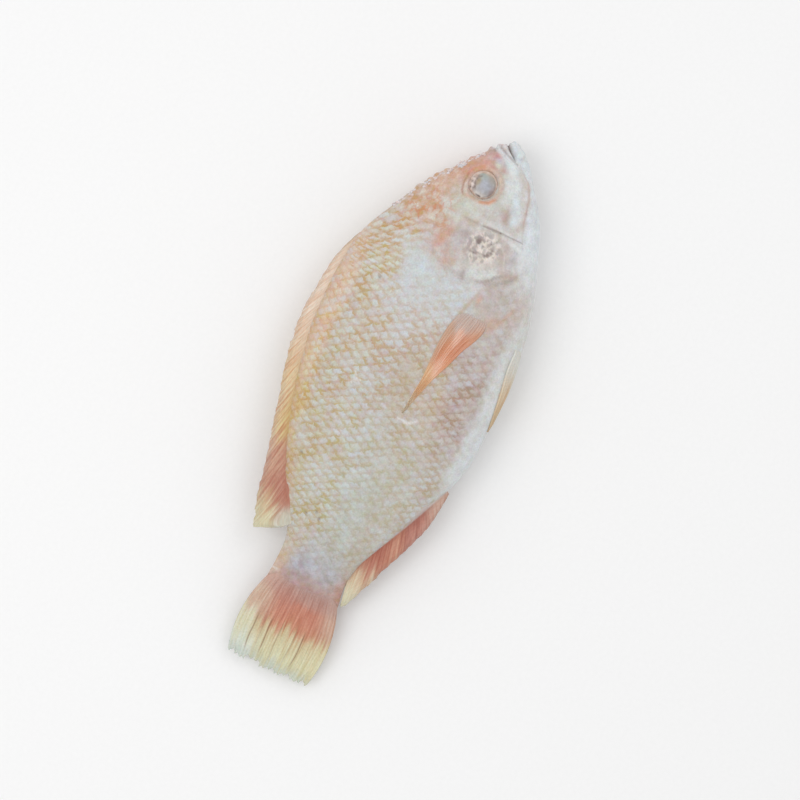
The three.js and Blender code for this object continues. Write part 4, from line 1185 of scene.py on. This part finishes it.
def pectoral_place(side):
    middle, width = smooth_line(PECTORAL_BLADE, 1), smooth_line(PECTORAL_BLADE, 2)

    def place(u, v, lift):
        x = SNOUT_X - PECTORAL_FROM + PECTORAL_ROOT - (PECTORAL_LENGTH + PECTORAL_ROOT) * v + 0 * u
        share = np.clip((SNOUT_X - PECTORAL_FROM - x) / PECTORAL_LENGTH, 0, 1)
        y = middle(share) + PECTORAL_WIDTH * width(share) * (0.5 - u) * (0.55 + 0.45 * rise(v, 0, 0.12))
        return lifted_point(x, skin_angle(x, y), side * np.ones_like(x), lift * np.ones_like(x))

    return place


def pelvic_place(side):
    middle, width = smooth_line(PELVIC_BLADE, 1), smooth_line(PELVIC_BLADE, 2)

    def place(u, v, lift):
        x = SNOUT_X - PELVIC_FROM - PELVIC_LENGTH * v + 0 * u
        angle = np.radians(middle(v)) + PELVIC_WIDTH * width(v) / HALF_WIDTH * (0.5 - u)
        return lifted_point(x, angle, side * np.ones_like(x), lift * np.ones_like(x))

    return place


for fin_side, word in ((1, "right"), (-1, "left")):
    paired_fin(f"pectoral_fin_rays_{word}", f"{word}_pectoral_fin", pectoral_place(fin_side),
               fin_side, rays=12, patches=PECTORAL_PATCHES, length=PECTORAL_LENGTH + PECTORAL_ROOT,
               root_share=0.16)
    paired_fin(f"pelvic_fin_rays_{word}", f"{word}_pelvic_fin", pelvic_place(fin_side),
               fin_side, rays=6, patches=PELVIC_PATCHES, length=PELVIC_LENGTH, root_share=0.12)


# ---------------------------------------------------------------- frost

FROST_GRAINS = 120


def make_frost():
    """Ice grains on the forehead, frozen into the skin."""
    random = np.random.default_rng(21)
    work = bmesh.new()
    for _ in range(FROST_GRAINS):
        x = random.uniform(190, 231)
        depth = abs(random.normal(0, 0.8))
        side = random.choice([-1.0, 1.0])
        angle = skin_angle(np.array(x), back_y(x) - depth)
        spot_at = lifted_point(np.array(x), angle, np.array(side), random.uniform(-0.6, 0.1))
        size = random.uniform(0.9, 1.6)
        stretch = Matrix.Diagonal((*(size * random.uniform(0.7, 1.2, 3) * MM), 1))
        turn = Matrix.Rotation(random.uniform(0, 6.28), 4, Vector(random.normal(0, 1, 3)).normalized())
        at = Matrix.Translation(Vector((spot_at + ORIGIN) * MM))
        bmesh.ops.create_icosphere(work, subdivisions=2, radius=1.0, matrix=at @ turn @ stretch)
    for vert in work.verts:
        vert.co += Vector(random.normal(0, 0.05 * MM, 3))
    mesh = bpy.data.meshes.new("frost_grains")
    work.to_mesh(mesh)
    work.free()
    piece = bpy.data.objects.new("frost_grains", mesh)
    bpy.context.scene.collection.objects.link(piece)
    piece.data.materials.append(ICE)
    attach(piece, "root")


make_frost()


# ---------------------------------------------------------------- table, light and camera

def make_table():
    """A pale matt laminate table top."""
    material, tree = new_material("pale_laminate")
    place = add(tree, "ShaderNodeTexCoord", {}, out=3)
    speckle = add(tree, "ShaderNodeTexNoise", {"Vector": place, "Scale": 1 / (2 * MM), "Detail": 2.0})
    colour = add(tree, "ShaderNodeMix", {0: speckle, 6: rgba("#f4f4f4"), 7: rgba("#f8f8f8")},
                 out=2, data_type="RGBA")
    finish_material(tree, colour, 0.6, speckle, 0.005 * MM, IOR=1.45)
    half = 3.0  # metres
    top_z = -0.0002  # just under the fish, so that the two never share a face
    mesh = bpy.data.meshes.new("table_top")
    corners = [(-half, -half, top_z), (half, -half, top_z), (half, half, top_z), (-half, half, top_z)]
    mesh.from_pydata(corners, [], [(0, 1, 2, 3)])
    mesh.materials.append(material)
    table = bpy.data.objects.new("table_top", mesh)
    bpy.context.scene.collection.objects.link(table)


def add_softbox(name, place, size, power):
    """A square studio light that faces the fish."""
    light = bpy.data.lights.new(name, "AREA")
    light.shape, light.size, light.energy = "SQUARE", size, power
    holder = bpy.data.objects.new(name, light)
    holder.location = place
    holder.rotation_euler = (-Vector(place)).to_track_quat("-Z", "Y").to_euler()
    bpy.context.scene.collection.objects.link(holder)


def light_studio():
    world = bpy.data.worlds.new("soft_room")
    world.use_nodes = True
    world.node_tree.nodes["Background"].inputs["Color"].default_value = (1, 1, 1, 1)
    world.node_tree.nodes["Background"].inputs["Strength"].default_value = 0.78
    bpy.context.scene.world = world
    add_softbox("key_light", (-0.2, 0.45, 1.1), 0.8, 3.2)
    add_softbox("head_light", (0.7, -0.3, 1.0), 0.6, 1.2)
    bpy.context.scene.view_settings.view_transform = "Standard"


def place_camera():
    """Straight down on the flank, with the snout up and to the right."""
    lens, sensor = 200.0, 36.0  # mm
    view_width = 0.3909  # metres across the view at the middle of the flank
    turn = math.radians(-64.9)
    distance = view_width * lens / sensor
    camera = bpy.data.cameras.new("camera")
    camera.lens, camera.sensor_width = lens, sensor
    holder = bpy.data.objects.new("camera", camera)
    aim = (np.array([105.1, -1.1, HALF_WIDTH - REST_FLAT]) + ORIGIN) * MM
    holder.location = (aim[0], aim[1], aim[2] + distance)
    holder.rotation_euler = (0, 0, turn)
    bpy.context.scene.collection.objects.link(holder)
    bpy.context.scene.camera = holder


make_table()
light_studio()
place_camera()
